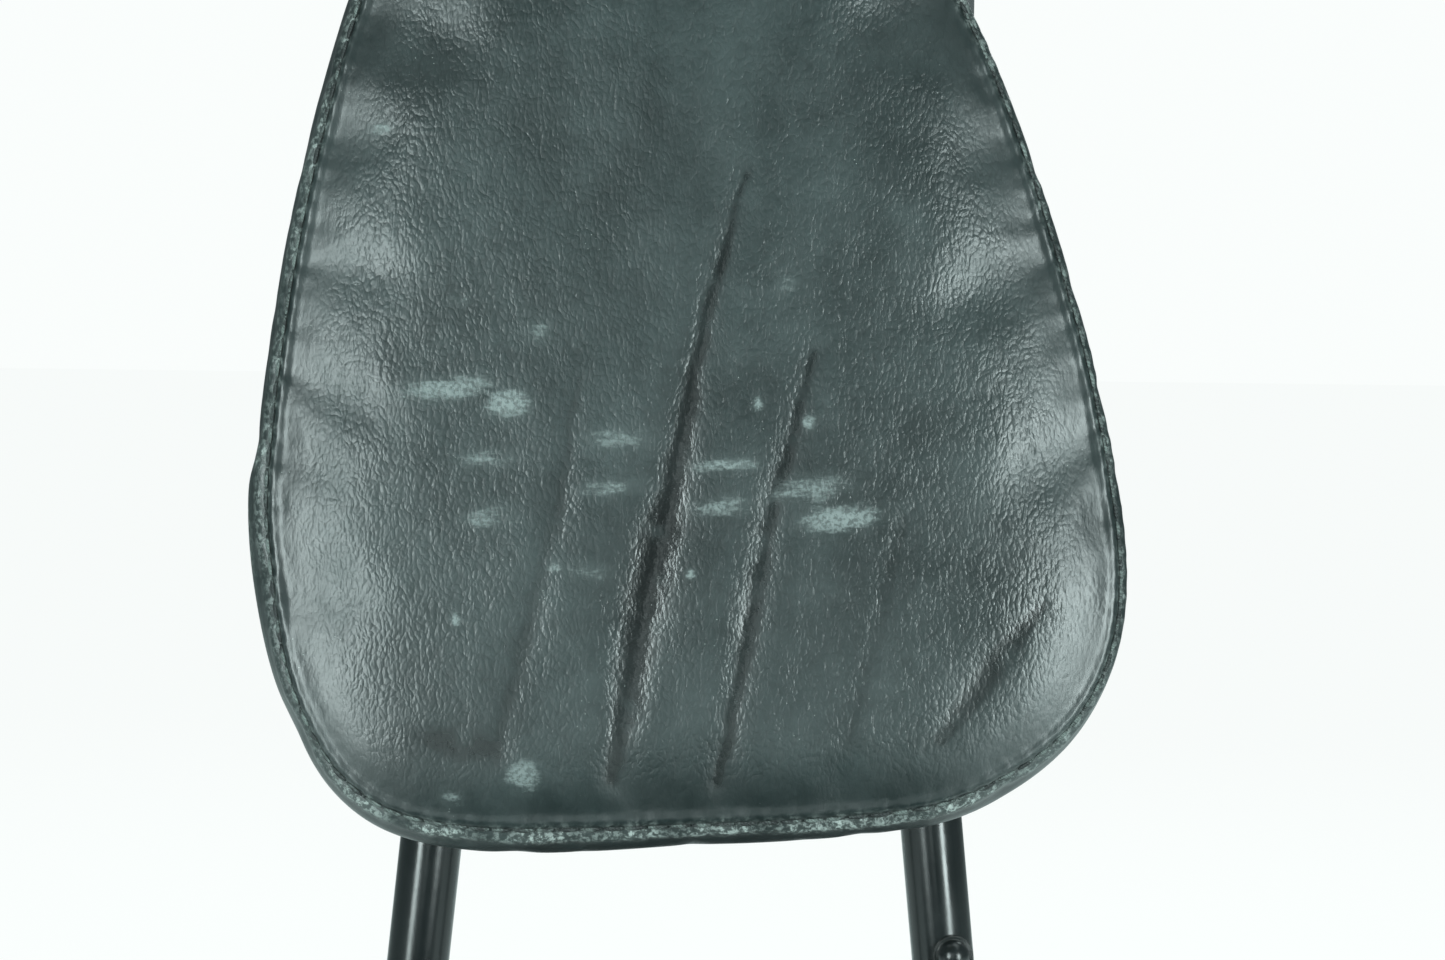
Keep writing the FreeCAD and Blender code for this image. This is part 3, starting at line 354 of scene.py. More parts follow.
# %% Node groups
def build_edges(tree, given):
    rounded = add_node(tree, "Bevel", {"Radius": given["Radius"]}, samples=4).outputs["Normal"]
    plain = add_node(tree, "NewGeometry").outputs["Normal"]
    close = add_node(tree, "VectorMath", {0: rounded, 1: plain}, operation="DOT_PRODUCT").outputs["Value"]
    turned = inverse(tree, close)
    patchy = noise(tree, given["Vector"], 90.0, 6.0, 0.65)
    raised = times(tree, turned, times(tree, patchy, given["Amount"]))
    return {"Mask": ramp(tree, raised, 0.03, 0.12), "Normal": rounded}


edge_wear = group("edge_wear",
                  [("Vector", "Vector", None), ("Radius", "Float", 0.0015), ("Amount", "Float", 1.0)],
                  [("Mask", "Float"), ("Normal", "Vector")], build_edges)


def build_dust(tree, given):
    cloud = noise(tree, given["Vector"], given["Scale"], 5.0, 0.6)
    speck = add_node(tree, "TexVoronoi", {"Vector": given["Vector"], "Scale": 420.0}).outputs["Distance"]
    specks = inverse(tree, ramp(tree, speck, 0.03, 0.10))
    few = ramp(tree, noise(tree, given["Vector"], 60.0, 3.0), 0.56, 0.66)
    patch = times(tree, ramp(tree, cloud, 0.42, 0.75), given["Amount"])
    spots = times(tree, times(tree, specks, few), given["Specks"])
    return {"Patch": patch, "Specks": spots}


dust = group("dust", [("Vector", "Vector", None), ("Scale", "Float", 14.0), ("Amount", "Float", 0.3),
                      ("Specks", "Float", 0.5)], [("Patch", "Float"), ("Specks", "Float")], build_dust)


def build_grain(tree, given):
    wander = add_node(tree, "TexNoise", {"Vector": given["Vector"], "Scale": 110.0, "Detail": 2.0})
    shifted = add_node(tree, "VectorMath", {0: wander.outputs["Color"], 1: (0.5, 0.5, 0.5)},
                       operation="SUBTRACT").outputs[0]
    shift = add_node(tree, "VectorMath", {0: shifted, "Scale": given["Wander"]}, operation="SCALE").outputs[0]
    place = add_node(tree, "VectorMath", {0: given["Vector"], 1: shift}, operation="ADD").outputs[0]
    cell = add_node(tree, "TexVoronoi", {"Vector": place, "Scale": given["Cells"], "Randomness": 0.95},
                    feature="F1").outputs["Distance"]
    smaller = times(tree, given["Cells"], 2.3)
    fine = add_node(tree, "TexVoronoi", {"Vector": place, "Scale": smaller}, feature="F1").outputs["Distance"]
    swell = noise(tree, place, times(tree, given["Cells"], 0.35), 3.0)
    domes = inverse(tree, maths(tree, "POWER", cell, 1.6))
    pores = times(tree, fine, -0.28)
    height = plus(tree, plus(tree, domes, pores), times(tree, swell, 0.9))
    return {"Height": height, "Valley": ramp(tree, cell, 0.45, 0.85)}


leather_grain = group("leather_grain",
                      [("Vector", "Vector", None), ("Cells", "Float", 560.0), ("Wander", "Float", 0.004)],
                      [("Height", "Float"), ("Valley", "Float")], build_grain)
print("node groups:", [tree.name for tree in bpy.data.node_groups])

# %% [markdown]
# ## The leather
# This is old split leather: a black finish gone grey-green, pebbled where it is slack, smooth
# where it is pulled over an edge, rubbed pale along the seams. Painted shade darkens it on both
# sides of the seams, in the grain's valleys and in folds, and a few pale patches are painted
# highlights. Such wear could be painted by hand on an unwrapped pad, but then every pad would need
# its own picture. Instead, attributes made with each pad say how far a point is from the seam,
# where the painted shade of folds lies and where it is scuffed or has a painted highlight, one
# material reads them, and noise breaks them all up.

# %% The colours of old leather
BLACK_HIDE, GREY_HIDE = (0.007, 0.012, 0.012, 1), (0.023, 0.034, 0.034, 1)
# Painted shade: a deeper black for the grain's valleys and a near black for folds.
VALLEY_SHADE_BLACK, FOLD_SHADE_BLACK = (0.005, 0.009, 0.009, 1), (0.0015, 0.0025, 0.0025, 1)
# Pale grey for scuffs and for painted highlights; the split hide's pale also paints a highlight.
SCUFF_AND_HIGHLIGHT_GREY, SPLIT_HIDE_AND_HIGHLIGHT = (0.17, 0.205, 0.20, 1), (0.36, 0.41, 0.39, 1)
DUST_FILM, DUST_SPECK = (0.075, 0.10, 0.10, 1), (0.45, 0.50, 0.47, 1)
GRAIN_CELLS, GRAIN_WANDER = 560.0, 0.005


def hide_colour_and_shade(tree, place, grain, middling, fold, seam):
    """Grey-green worn finish; painted shade darkens it by the seam, in grain valleys and in folds."""
    broad = noise(tree, place, 9.0, 4.0, 0.6)
    mix = plus(tree, times(tree, broad, 0.6), times(tree, middling, 0.4))
    colour = blend(tree, ramp(tree, mix, 0.30, 0.70), BLACK_HIDE, GREY_HIDE)
    # Painted shade on both sides of the seam, then in the grain's valleys and in folds.
    seam_shade = inverse(tree, ramp(tree, seam, 5.0, 24.0))
    colour = blend(tree, times(tree, seam_shade, 0.55), colour, BLACK_HIDE)
    colour = blend(tree, times(tree, grain["Valley"], 0.35), colour, VALLEY_SHADE_BLACK)
    return blend(tree, times(tree, fold, 0.95, clamp=True), colour, FOLD_SHADE_BLACK)


def scuff_and_highlight_mask(tree, place):
    """Scuffs and painted highlights: level streaks broken into crumbs where that attribute is high."""
    scuff = attribute(tree, "scuff")
    fine = noise(tree, place, 700.0, 3.0, 0.6)
    streaks = noise(tree, stretched(tree, place, (0.45, 1.0, 1.5)), 210.0, 8.0, 0.72)
    reach = plus(tree, times(tree, scuff, 0.52), times(tree, streaks, 0.9))
    crumbs = plus(tree, times(tree, ramp(tree, fine, 0.40, 0.56), 0.6), 0.4)
    broken = times(tree, ramp(tree, reach, 0.60, 0.88), crumbs)
    rubbed = times(tree, broken, plus(tree, times(tree, scuff, 0.5), 0.35), clamp=True)
    faint = times(tree, scuff, times(tree, streaks, 0.28))
    return maths(tree, "MAXIMUM", rubbed, faint)


print("grain cells are about", round(1000 / GRAIN_CELLS, 1), "mm across")


# %% Leather
def leather_relief(tree, place, grain, fold, seam, fluff):
    """Pebbles that flatten near the seam and in folds, then wrinkles, then the fluff of torn hide."""
    smooth_by_seam = plus(tree, times(tree, ramp(tree, seam, 6.0, 30.0), 0.82), 0.18)
    depth = times(tree, grain["Height"], smooth_by_seam)
    depth = times(tree, depth, inverse(tree, times(tree, fold, 0.6)))
    pebbled = bump(tree, depth, 0.36, 0.00045)
    wrinkles = noise(tree, stretched(tree, place, (1.0, 1.0, 0.5)), 150.0, 4.0, 0.6)
    wrinkled = bump(tree, wrinkles, 0.2, 0.0012, pebbled)
    return bump(tree, fluff, 0.35, 0.0004, wrinkled)


def leather():
    material, tree, shader = new_material("worn_leather_with_painted_light")
    place = own_place(tree)
    seam, fold, frayed = (attribute(tree, name) for name in ("seam_mm", "fold", "frayed"))
    drawn = stretched(tree, place, (1.2, 1.0, 0.78))
    grain = use(tree, leather_grain, {"Vector": drawn, "Cells": GRAIN_CELLS, "Wander": GRAIN_WANDER})
    middling = noise(tree, place, 45.0, 5.0, 0.65)
    colour = hide_colour_and_shade(tree, place, grain, middling, fold, seam)
    rough = plus(tree, times(tree, middling, 0.22), 0.23)
    rough = times(tree, rough, inverse(tree, times(tree, fold, 0.3)))
    # Pale scuffs, and painted highlights where the broad soft patches lie.
    rubbed = scuff_and_highlight_mask(tree, place)
    colour = blend(tree, rubbed, colour, SCUFF_AND_HIGHLIGHT_GREY)
    rough = plus(tree, rough, times(tree, rubbed, 0.25))
    bits = ramp(tree, noise(tree, place, 420.0, 5.0, 0.75), 0.46, 0.60)
    # Pale split hide where it is frayed, and a painted highlight low on the backrest's band.
    worn = times(tree, frayed, plus(tree, times(tree, bits, 0.85), 0.12), clamp=True)
    colour = blend(tree, worn, colour, SPLIT_HIDE_AND_HIGHLIGHT)
    rough = plus(tree, rough, times(tree, worn, 0.3))
    dots = use(tree, dust, {"Vector": place, "Scale": 11.0, "Amount": 0.16, "Specks": 0.55})
    colour = blend(tree, dots["Patch"], colour, DUST_FILM)
    colour = blend(tree, dots["Specks"], colour, DUST_SPECK)
    relief = leather_relief(tree, place, grain, fold, seam, times(tree, bits, frayed))
    feed(tree, shader, Base_Color=colour, Roughness=rough, Normal=relief, Specular_IOR_Level=0.55)
    return material


LEATHER = leather()
print("leather nodes:", len(LEATHER.node_tree.nodes))

# %% [markdown]
# ## How a stitched pad is made
# Each pad is a board, a slab of foam and a leather cover. The cover has a face panel sewn to a
# band, and the band is pulled round the board and stapled behind it. The cover starts as a
# square grid pulled round into the outline, so no pole shows, with rows for the band behind it.
# The cloth simulation blows it up like foam does, with the seam and the stapled edge held.
# Folds, the seam's roll and scuffs come afterwards, because they are finer than the cloth.

# %% Lines on the bench
def even_line(line, count):
    """The closed line again, as count points equally far apart."""
    ring = np.vstack([line, line[:1]])
    travelled = np.concatenate([[0], np.cumsum(np.linalg.norm(np.diff(ring, axis=0), axis=1))])
    stops = np.linspace(0, travelled[-1], count, endpoint=False)
    return np.stack([np.interp(stops, travelled, ring[:, i]) for i in range(ring.shape[1])], axis=1)


def closed_spline(points, count):
    p = np.array(points, float)
    t = np.linspace(0, 1, 24, endpoint=False)[:, None]
    spans = []
    for i in range(len(p)):
        a, b, c, d = p[i - 1], p[i], p[(i + 1) % len(p)], p[(i + 2) % len(p)]
        bend = (2 * a - 5 * b + 4 * c - d) * t ** 2 + (3 * b - a - 3 * c + d) * t ** 3
        spans.append(0.5 * (2 * b + (c - a) * t + bend))
    return even_line(np.concatenate(spans), count)


def rounded_outline(width, height, corner, count):
    """A closed rounded rectangle about the origin, anticlockwise."""
    line = []
    for quarter in range(4):
        turns = np.radians(np.linspace(0, 90, 24) + 90 * quarter)
        across = (width / 2 - corner) * (1, -1, -1, 1)[quarter]
        up = (height / 2 - corner) * (1, 1, -1, -1)[quarter]
        line.append(np.stack([across + corner * np.cos(turns), up + corner * np.sin(turns)], axis=1))
    return even_line(np.concatenate(line), count)


def ahead_of(line):
    """At each point of a closed line, the step from the point before to the point after."""
    return np.roll(line, -1, axis=0) - np.roll(line, 1, axis=0)


def outward_of(line):
    """Unit normals of an anticlockwise closed line."""
    ahead = ahead_of(line)
    return np.column_stack([ahead[:, 1], -ahead[:, 0]]) / np.linalg.norm(ahead, axis=1)[:, None]


def smooth_step(x):
    x = np.clip(x, 0, 1)
    return x * x * (3 - 2 * x)


def far_from(points, line):
    """For each point: how far the closed line is, and how far along it the nearest place is."""
    tree = KDTree(len(line))
    for i, (x, y) in enumerate(line):
        tree.insert((x, y, 0), i)
    tree.balance()
    step = np.linalg.norm(line[1] - line[0])
    found = [tree.find((x, y, 0)) for x, y in points]
    return np.array([f[2] for f in found]), np.array([f[1] for f in found]) * step


print("a round outline's normals have length", np.linalg.norm(outward_of(rounded_outline(2, 2, 1, 40))[0]))


# %% The cover before it is stuffed
def disc_grid(count):
    """A square grid pulled round into a unit disc, its faces and its rim in order."""
    x, y = np.meshgrid(np.linspace(-1, 1, count), np.linspace(-1, 1, count))
    disc = np.stack([(x * np.sqrt(1 - y ** 2 / 2)).ravel(), (y * np.sqrt(1 - x ** 2 / 2)).ravel()], axis=1)
    faces = [(r * count + c, r * count + c + 1, (r + 1) * count + c + 1, (r + 1) * count + c)
             for r in range(count - 1) for c in range(count - 1)]
    last = count - 1
    rim = list(range(last)) + [r * count + last for r in range(last)]
    rim += [last * count + c for c in range(last, 0, -1)] + [r * count for r in range(last, 0, -1)]
    return disc, faces, rim


# How much the grid gathers at its rim, how far behind the seam the band bulges, in mm, and how
# far inside the seam a row lies flat under the board.
GATHER, BAND_BULGE_DEPTH, NO_BULGE_INSIDE = 1.25, 32, -3


def polar(points, middle):
    away = points - middle
    return np.arctan2(away[:, 1], away[:, 0]), np.hypot(away[:, 0], away[:, 1])


def into_outline(disc, outline):
    """The unit disc pulled into the outline, with its points gathered a little towards the rim."""
    middle = (outline.min(axis=0) + outline.max(axis=0)) / 2
    half = (outline.max(axis=0) - outline.min(axis=0)) / 2
    angle, reach = polar(outline, middle)
    order = np.argsort(angle)
    oval = disc * half
    turn = np.arctan2(oval[:, 1], oval[:, 0])
    fit = np.interp(turn, angle[order], reach[order], period=2 * math.pi)
    ratio = fit * np.hypot(np.cos(turn) / half[0], np.sin(turn) / half[1])
    radius = np.hypot(disc[:, 0], disc[:, 1])
    tightened = 1 - np.clip(1 - radius, 0, 1) ** GATHER
    scale = np.where(radius > 0, tightened / np.maximum(radius, 1e-9), GATHER)
    return middle, middle + oval * (scale * (1 + radius ** 2 * (ratio - 1)))[:, None]


def round_the_board(edge, middle, board_line):
    """Where rays from the middle through the rim's points cross the board's outline."""
    board_turn, board_reach = polar(board_line, middle)
    order = np.argsort(board_turn)
    edge_turn, _ = polar(edge, middle)
    reach = np.interp(edge_turn, board_turn[order], board_reach[order], period=2 * math.pi)
    return middle + np.column_stack([np.cos(edge_turn), np.sin(edge_turn)]) * reach[:, None]


def cover(outline, count, seam_depth, rise, crown, rows, bulge, board_line=None, board_face=-1e9):
    """A closed cover: face panel, band rows (out, depth, hold) behind the seam, and a hidden cap.

    Rows behind board_face are measured from board_line, the board's own outline."""
    disc, faces, rim = disc_grid(count)
    middle, plane = into_outline(disc, outline)
    far, _ = far_from(plane, outline)
    far[rim] = 0
    shoulder = rise * (1 - (1 - np.clip(far / 40, 0, 1)) ** 2.3)
    height = seam_depth + shoulder + crown * smooth_step(far / 150)
    points, inset = [np.column_stack([plane, height])], [far]
    held = [np.zeros(len(plane))]
    held[0][rim] = 1
    edge = plane[rim]
    outward, swell = outward_of(edge), bulge(edge)
    round_board = edge if board_line is None else round_the_board(edge, middle, board_line)
    behind, previous, before, total = 0.0, rim, (0.0, seam_depth), len(plane)
    for out, depth, hold in rows:
        behind += math.hypot(out - before[0], depth - before[1])
        before = (out, depth)
        swollen = out > NO_BULGE_INSIDE
        shift = out + swollen * swell * math.sin(math.pi * min(behind / BAND_BULGE_DEPTH, 1))
        base = round_board if depth < board_face else edge
        ring = base + outward * np.broadcast_to(shift, len(edge))[:, None]
        points.append(np.column_stack([ring, np.full(len(edge), float(depth))]))
        inset.append(np.full(len(edge), -behind))
        held.append(np.full(len(edge), float(hold)))
        now = list(range(total, total + len(edge)))
        total += len(edge)
        faces += [(previous[j], previous[i], now[i], now[j]) for i, j in neighbours(len(edge))]
        previous = now
    points.append(points[-1].mean(axis=0)[None])
    inset.append(np.array([-behind]))
    held.append(np.ones(1))
    faces += [(total, previous[j], previous[i]) for i, j in neighbours(len(edge))]
    return np.concatenate(points), faces, np.concatenate(inset), np.concatenate(held)


print("a grid of five makes a disc with", len(disc_grid(5)[2]), "points on its rim")


# %% Stuffing it
def add_values(mesh, name, values):
    layer = mesh.attributes.get(name) or mesh.attributes.new(name, "FLOAT", "POINT")
    layer.data.foreach_set("value", np.asarray(values, np.float32))


def values_of(mesh, name):
    out = np.empty(len(mesh.vertices), np.float32)
    mesh.attributes[name].data.foreach_get("value", out)
    return out


def places(mesh):
    out = np.empty(len(mesh.vertices) * 3, np.float32)
    mesh.vertices.foreach_get("co", out)
    return out.reshape(-1, 3).astype(float)


def set_places(mesh, points):
    mesh.vertices.foreach_set("co", np.asarray(points, np.float32).ravel())
    mesh.update()


def applied(obj):
    """The mesh as its modifiers leave it, which takes the old one's place."""
    made = bpy.data.meshes.new_from_object(obj.evaluated_get(bpy.context.evaluated_depsgraph_get()))
    obj.modifiers.clear()
    obj.data = made
    return made


CLOTH = {"quality": 7, "mass": 0.35, "tension_stiffness": 40, "compression_stiffness": 40,
         "shear_stiffness": 25, "bending_stiffness": 6, "use_pressure": True}
CLOTH_FRAMES, PRESSURE, SUBDIVISIONS = 20, 4.0, 2


def blown_up(obj, held, growth):
    """The cover's points after the cloth has been blown up with its held points fixed."""
    grip = obj.vertex_groups.new(name="held")
    for index in np.nonzero(held)[0]:
        grip.add([int(index)], float(held[index]), "REPLACE")
    cloth = obj.modifiers.new("cloth", "CLOTH").settings
    for setting, value in CLOTH.items():
        setattr(cloth, setting, value)
    cloth.uniform_pressure_force = PRESSURE
    cloth.vertex_group_mass = "held"
    cloth.shrink_min = -growth
    cloth.effector_weights.gravity = 0
    for frame_number in range(1, CLOTH_FRAMES + 1):
        scene.frame_set(frame_number)
    blown = places(obj.evaluated_get(bpy.context.evaluated_depsgraph_get()).data)
    obj.modifiers.clear()
    scene.frame_set(1)
    return blown


def stuffed(name, made, cap, growth):
    """Blow the cover up, keep each move under the cap in mm, and subdivide it."""
    points, faces, inset, held = made
    mesh = mesh_from(name, points * MM, faces)
    add_values(mesh, "inset", inset)
    obj = new_object(name, mesh)
    move = blown_up(obj, held, growth) - points * MM
    size = np.linalg.norm(move, axis=1)
    limit = cap * MM
    move *= (np.tanh(size / limit) * limit / np.maximum(size, 1e-9))[:, None]
    set_places(obj.data, points * MM + move)
    kept = np.linalg.norm(move, axis=1).max()
    print(f"{name}: swelled {size.max() / MM:.1f} mm at most, kept {kept / MM:.1f}")
    smoother = obj.modifiers.new("smoother", "SUBSURF")
    smoother.levels = smoother.render_levels = SUBDIVISIONS
    applied(obj)
    return obj


def push(obj, amount_mm):
    """Move every point along its normal."""
    normals = np.empty(len(obj.data.vertices) * 3, np.float32)
    obj.data.vertex_normals.foreach_get("vector", normals)
    set_places(obj.data, places(obj.data) + normals.reshape(-1, 3) * (amount_mm * MM)[:, None])


# %% [markdown]
# ## The backrest's cover
# The face is an egg with its broad end down, about 320 mm across, and the band behind it bulges
# most at the bottom. The outline is read as a ring of points on the bench with a smooth curve
# through them, because a tailor's pattern is drawn that way too. The rows say how the band goes
# back, over the board's edge and under it to the staples.

# %% Backrest outline and band
SEAM = [(0, 8.5), (45, 8), (85, 10.5), (112, 20), (134, 34), (149, 53), (157, 75), (159.3, 100),
        (157.5, 130), (153, 167), (146, 202), (137, 240), (126, 277), (112, 314), (104, 333), (91, 358),
        (77, 381), (58, 406), (32, 425), (0, 433), (-32, 425), (-57, 407), (-75, 383), (-91, 358),
        (-103, 338), (-111, 321), (-124, 283), (-136, 240), (-146, 193), (-151.5, 159), (-154, 137),
        (-153.5, 112), (-150, 78), (-143, 55), (-131, 34), (-112, 19.5), (-82, 12), (-45, 9.5)]
SEAM_DEPTH = -8
back_seam = closed_spline(SEAM, 1250)

# Rows behind the seam: how far out, how deep, and whether the row is held.
BACK_ROWS = [(0.3, -9.5, 0), (0.6, -11.5, 0), (0.9, -14, 0), (1.0, -17.5, 0), (1.0, -22, 0), (0.9, -27, 0),
             (0.6, -31, 0), (0.2, -35, 0), (1.2, -40.5, 1), (1.0, -45, 1), (1.0, -50, 1), (1.0, -52.3, 1),
             (0.2, -52.9, 1), (-4, -53, 1), (-14, -53, 1), (-22, -52.8, 1), (-23, -51.6, 1)]
BAND_JOIN = 154


def back_bulge(edge):
    """Left side 5 mm, right side 2 mm, bottom 6 mm, and a second strip lapped on low at the left."""
    low = smooth_step((60 - edge[:, 1]) / 60)
    left = smooth_step(-edge[:, 0] / 60)
    overlap = smooth_step((BAND_JOIN - edge[:, 1]) / 5) * smooth_step((edge[:, 1] - 50) / 70) * left
    return 2 + 3 * left + 4 * low * (1 - 0.4 * left) + 2.4 * overlap


def outline_of(node, matrix, count=600):
    """The outer line of a flat CAD board, seen square on from its bench."""
    flat = [(matrix.inverted() @ vert.co).xy for vert in node.data.vertices]
    return even_line(np.array([flat[i] for i in geometry.convex_hull_2d(flat)]), count)


back_board_line = outline_of(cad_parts["back_board"], TO_BACK)
print("backrest", np.ptp(back_seam, axis=0).round(1), "board", np.ptp(back_board_line, axis=0).round(1))

# %% The backrest stuffed
BACK_GRID, BACK_RISE, BACK_CROWN = 58, 8, 3.5
back_cover = cover(back_seam, BACK_GRID, SEAM_DEPTH, BACK_RISE, BACK_CROWN, BACK_ROWS, back_bulge,
                   back_board_line, -CUSHION)
back = stuffed("backrest_leather", back_cover, cap=2.5, growth=0.004)

# %% [markdown]
# ## The seam and the folds
# At the seam two thicknesses of hide meet in a groove with a roll on each side, gathered a
# little at every stitch. The foam has gone flat in the middle and the hide lies in long slanting
# folds, broad low down, where backs pressed, and darkened there with painted shade. They could be
# left to the cloth, but cloth folds where it likes, so each fold is a short line with its widths,
# pressed into the surface.

# %% Seam and folds
STITCH_PITCH = 8.2


def sewn_edge(inset, along):
    """Heights of the seam: a groove where the panels meet, a roll each side, puckers at stitches."""
    groove = -0.9 * np.exp(-(inset / 1.3) ** 2)
    rolls = 0.75 * np.exp(-((inset - 3.2) / 1.8) ** 2) + 0.5 * np.exp(-((inset + 3.4) / 1.8) ** 2)
    puckers = 0.22 * np.cos(2 * math.pi * along / STITCH_PITCH) * np.exp(-(np.abs(inset) / 5.0) ** 1.5)
    return groove + rolls + puckers


def near_line(points, line):
    """For each point: its signed distance from the open line and the line's third number there."""
    best = np.full(len(points), 1e9)
    signed, wide = np.zeros(len(points)), np.ones(len(points))
    for (ax, ay, aw), (bx, by, bw) in zip(line, line[1:]):
        run = np.array([bx - ax, by - ay])
        t = np.clip(((points - (ax, ay)) @ run) / (run @ run), 0, 1)
        gap = points - (np.array([ax, ay]) + t[:, None] * run)
        distance = np.hypot(gap[:, 0], gap[:, 1])
        closer = distance < best
        best = np.where(closer, distance, best)
        side = np.sign(run[0] * gap[:, 1] - run[1] * gap[:, 0])
        signed = np.where(closer, distance * side, signed)
        wide = np.where(closer, aw + t * (bw - aw), wide)
    return signed, wide


def ripple(points, seed, size):
    """Smooth repeatable unevenness between about -1 and 1, made of a few slanting waves."""
    draw = random.Random(seed)
    total = np.zeros(len(points))
    for _ in range(9):
        turn, phase = draw.uniform(0, 2 * math.pi), draw.uniform(0, 2 * math.pi)
        wave = 2 * math.pi / (size * draw.uniform(0.6, 1.7))
        across = points[:, 0] * math.cos(turn) + points[:, 1] * math.sin(turn)
        total += np.sin(across * wave + phase)
    return total / 4.5


# Folds: points down the valley with half its width at each, then its depth and the strength of
# its painted shade.
FOLDS = [([(30, 246, 0.8), (19, 215, 1.5), (9, 182, 2.4), (1, 150, 3.2), (-7, 121, 5.6), (-17, 88, 6.6),
           (-25, 54, 4.6), (-32, 27, 2.2)], 1.8, 1.0),
         ([(50, 177, 1.3), (42, 151, 2.0), (33, 126, 2.4), (22, 82, 3.2), (7, 25, 1.5)], 0.9, 0.85),
         ([(-36, 172, 0.8), (-45, 130, 1.8), (-60, 80, 2.4), (-74, 37, 1.5)], 0.4, 0.45),
         ([(80, 116, 1.0), (68, 78, 2.2), (55, 37, 1.2)], 0.25, 0.3),
         ([(129, 83, 1.5), (108, 59, 4.0), (88, 35, 2.0)], 0.6, 0.75),
         ([(-98, 47, 2.0), (-86, 44, 5.0), (-74, 40, 2.0)], 0.5, 0.7)]
print("folds:", len(FOLDS))

# %% The backrest's shape finished
here = places(back.data) / MM
inset = values_of(back.data, "inset")
_, along = far_from(here[:, :2], back_seam)
on_face = smooth_step((inset - 4) / 10)
lift = sewn_edge(inset, along) + 0.22 * ripple(here[:, :2], 3, 60) * on_face
fold_shade_mask = np.zeros(len(here))
for line, depth, shade_strength in FOLDS:
    gap, half_width = near_line(here[:, :2] + 1.2 * ripple(here[:, :2], 11, 26)[:, None], line)
    broad = 2.2 + half_width
    valley = np.exp(-(gap / broad) ** 2)
    ridge = np.exp(-((np.abs(gap) - 2.6 * broad) / (1.5 * broad)) ** 2)
    here_depth = depth * half_width / max(wide for _, _, wide in line)
    lift += on_face * here_depth * (0.22 * ridge - valley)
    # Each fold's core and a wider fringe are painted shade, kept as a mask for the leather.
    broken = np.clip(1.1 + 0.6 * ripple(here[:, :2], 17, 12), 0, 1)
    core = np.exp(-(gap / (1.5 * half_width)) ** 4) * broken
    shade = 0.32 * np.exp(-(gap / (3.2 * half_width)) ** 2)
    fold_shade_mask = np.maximum(fold_shade_mask, on_face * shade_strength * np.maximum(core, shade))
push(back, lift)
print(f"moved in {-lift.min():.1f} mm and out {lift.max():.1f} mm at most")

# %% [markdown]
# ## Where the backrest is worn, and where highlights are painted
# Scuffs run level across the middle, where shirts and buckles rub, and a few specks are scraped
# through. Broad soft pale patches on both sides and low down are painted highlights, laid in
# with the scuffs, and a faint pale strip low on the band is a painted highlight too. The seam is
# frayed at its stitch holes, most of all along the bottom and on the lapped strip. All of it is
# kept as numbers on the points, which the leather material reads, so the wear and the painted
# highlights stay on the hide and no image has to be painted.

# %% Scuffs, frayed edges and painted highlights
# Scuffs, and as the last four, broad painted highlights: across, up, half width, half height,
# strength.
SCUFFS_AND_HIGHLIGHTS = [(-84, 173, 22, 5, 0.8), (-62, 166, 9, 6, 1.0), (-70, 146, 13, 4, 0.6), (-71, 125, 12, 5, 0.6),
          (-23, 151, 14, 4, 0.7), (-27, 133, 12, 3, 0.7), (16, 139, 14, 3, 0.8), (12, 124, 14, 4, 0.7),
          (46, 128, 18, 6, 0.7), (56, 117, 16, 6, 0.9), (-36, 103, 10, 4, 0.5), (-64, 31, 7, 7, 0.9),
          (-91, 22, 6, 6, 0.8), (-104, 271, 6, 3, 0.8), (47, 153, 3, 3, 1.0), (29, 161, 2, 3, 1.0),
          (1, 100, 2, 2, 1.0), (-85, 89, 2, 3, 1.0), (-48, 105, 3, 2, 0.8), (-49, 191, 5, 5, 0.6),
          # On these two rows, the last four are broad soft painted highlights.
          (42, 204, 4, 3, 0.5), (-78, 205, 6, 3, 0.4), (-118, 140, 20, 60, 0.16), (120, 150, 22, 40, 0.14),
          (30, 45, 90, 30, 0.14), (-60, 75, 50, 50, 0.10)]


def hole_marks(inset, along, reach, between):
    """Rubbed spots at the stitch holes; between is how much of one shows between two holes."""
    hole_gap = np.abs((along / STITCH_PITCH) % 1 - 0.5) * 2
    spots = smooth_step((hole_gap - 0.45) / 0.4)
    return np.exp(-(inset / reach) ** 2) * (between + (1 - between) * spots)


here = places(back.data) / MM
scuff = np.zeros(len(here))
for across, up, half_width, half_height, strength in SCUFFS_AND_HIGHLIGHTS:
    ring = ((here[:, 0] - across) / half_width) ** 2 + ((here[:, 1] - up) / half_height) ** 2
    scuff = np.maximum(scuff, strength * np.exp(-ring ** 1.5))
low = smooth_step((50 - here[:, 1]) / 45)
left = smooth_step((-here[:, 0] - 60) / 60)
below = np.exp(-((inset + 3.0) / 1.8) ** 2) * (0.8 * low + 0.30 * left + 0.06)
# A faint pale strip low on the band is a painted highlight.
below += 0.35 * low * np.exp(-((inset + 17) / 7) ** 2) * smooth_step(ripple(here[:, :2], 29, 45))
join = left * np.exp(-((here[:, 1] - BAND_JOIN) / 3) ** 2) * smooth_step(-inset / 4)
lapped = smooth_step((BAND_JOIN - here[:, 1]) / 5) * smooth_step((here[:, 1] - 60) / 40)
join += 0.35 * left * np.exp(-((inset + 12) / 4) ** 2) * lapped
frayed = np.clip(0.9 * hole_marks(inset, along, 2.1, 0.35) + below + join, 0, 1)
frayed *= np.clip(0.72 + 0.5 * ripple(here[:, :2], 23, 22), 0, 1)
wear_and_painted_light = {"seam_mm": np.abs(inset), "fold": fold_shade_mask, "scuff": scuff * on_face, "frayed": frayed}
for name, values in wear_and_painted_light.items():
    add_values(back.data, name, values)
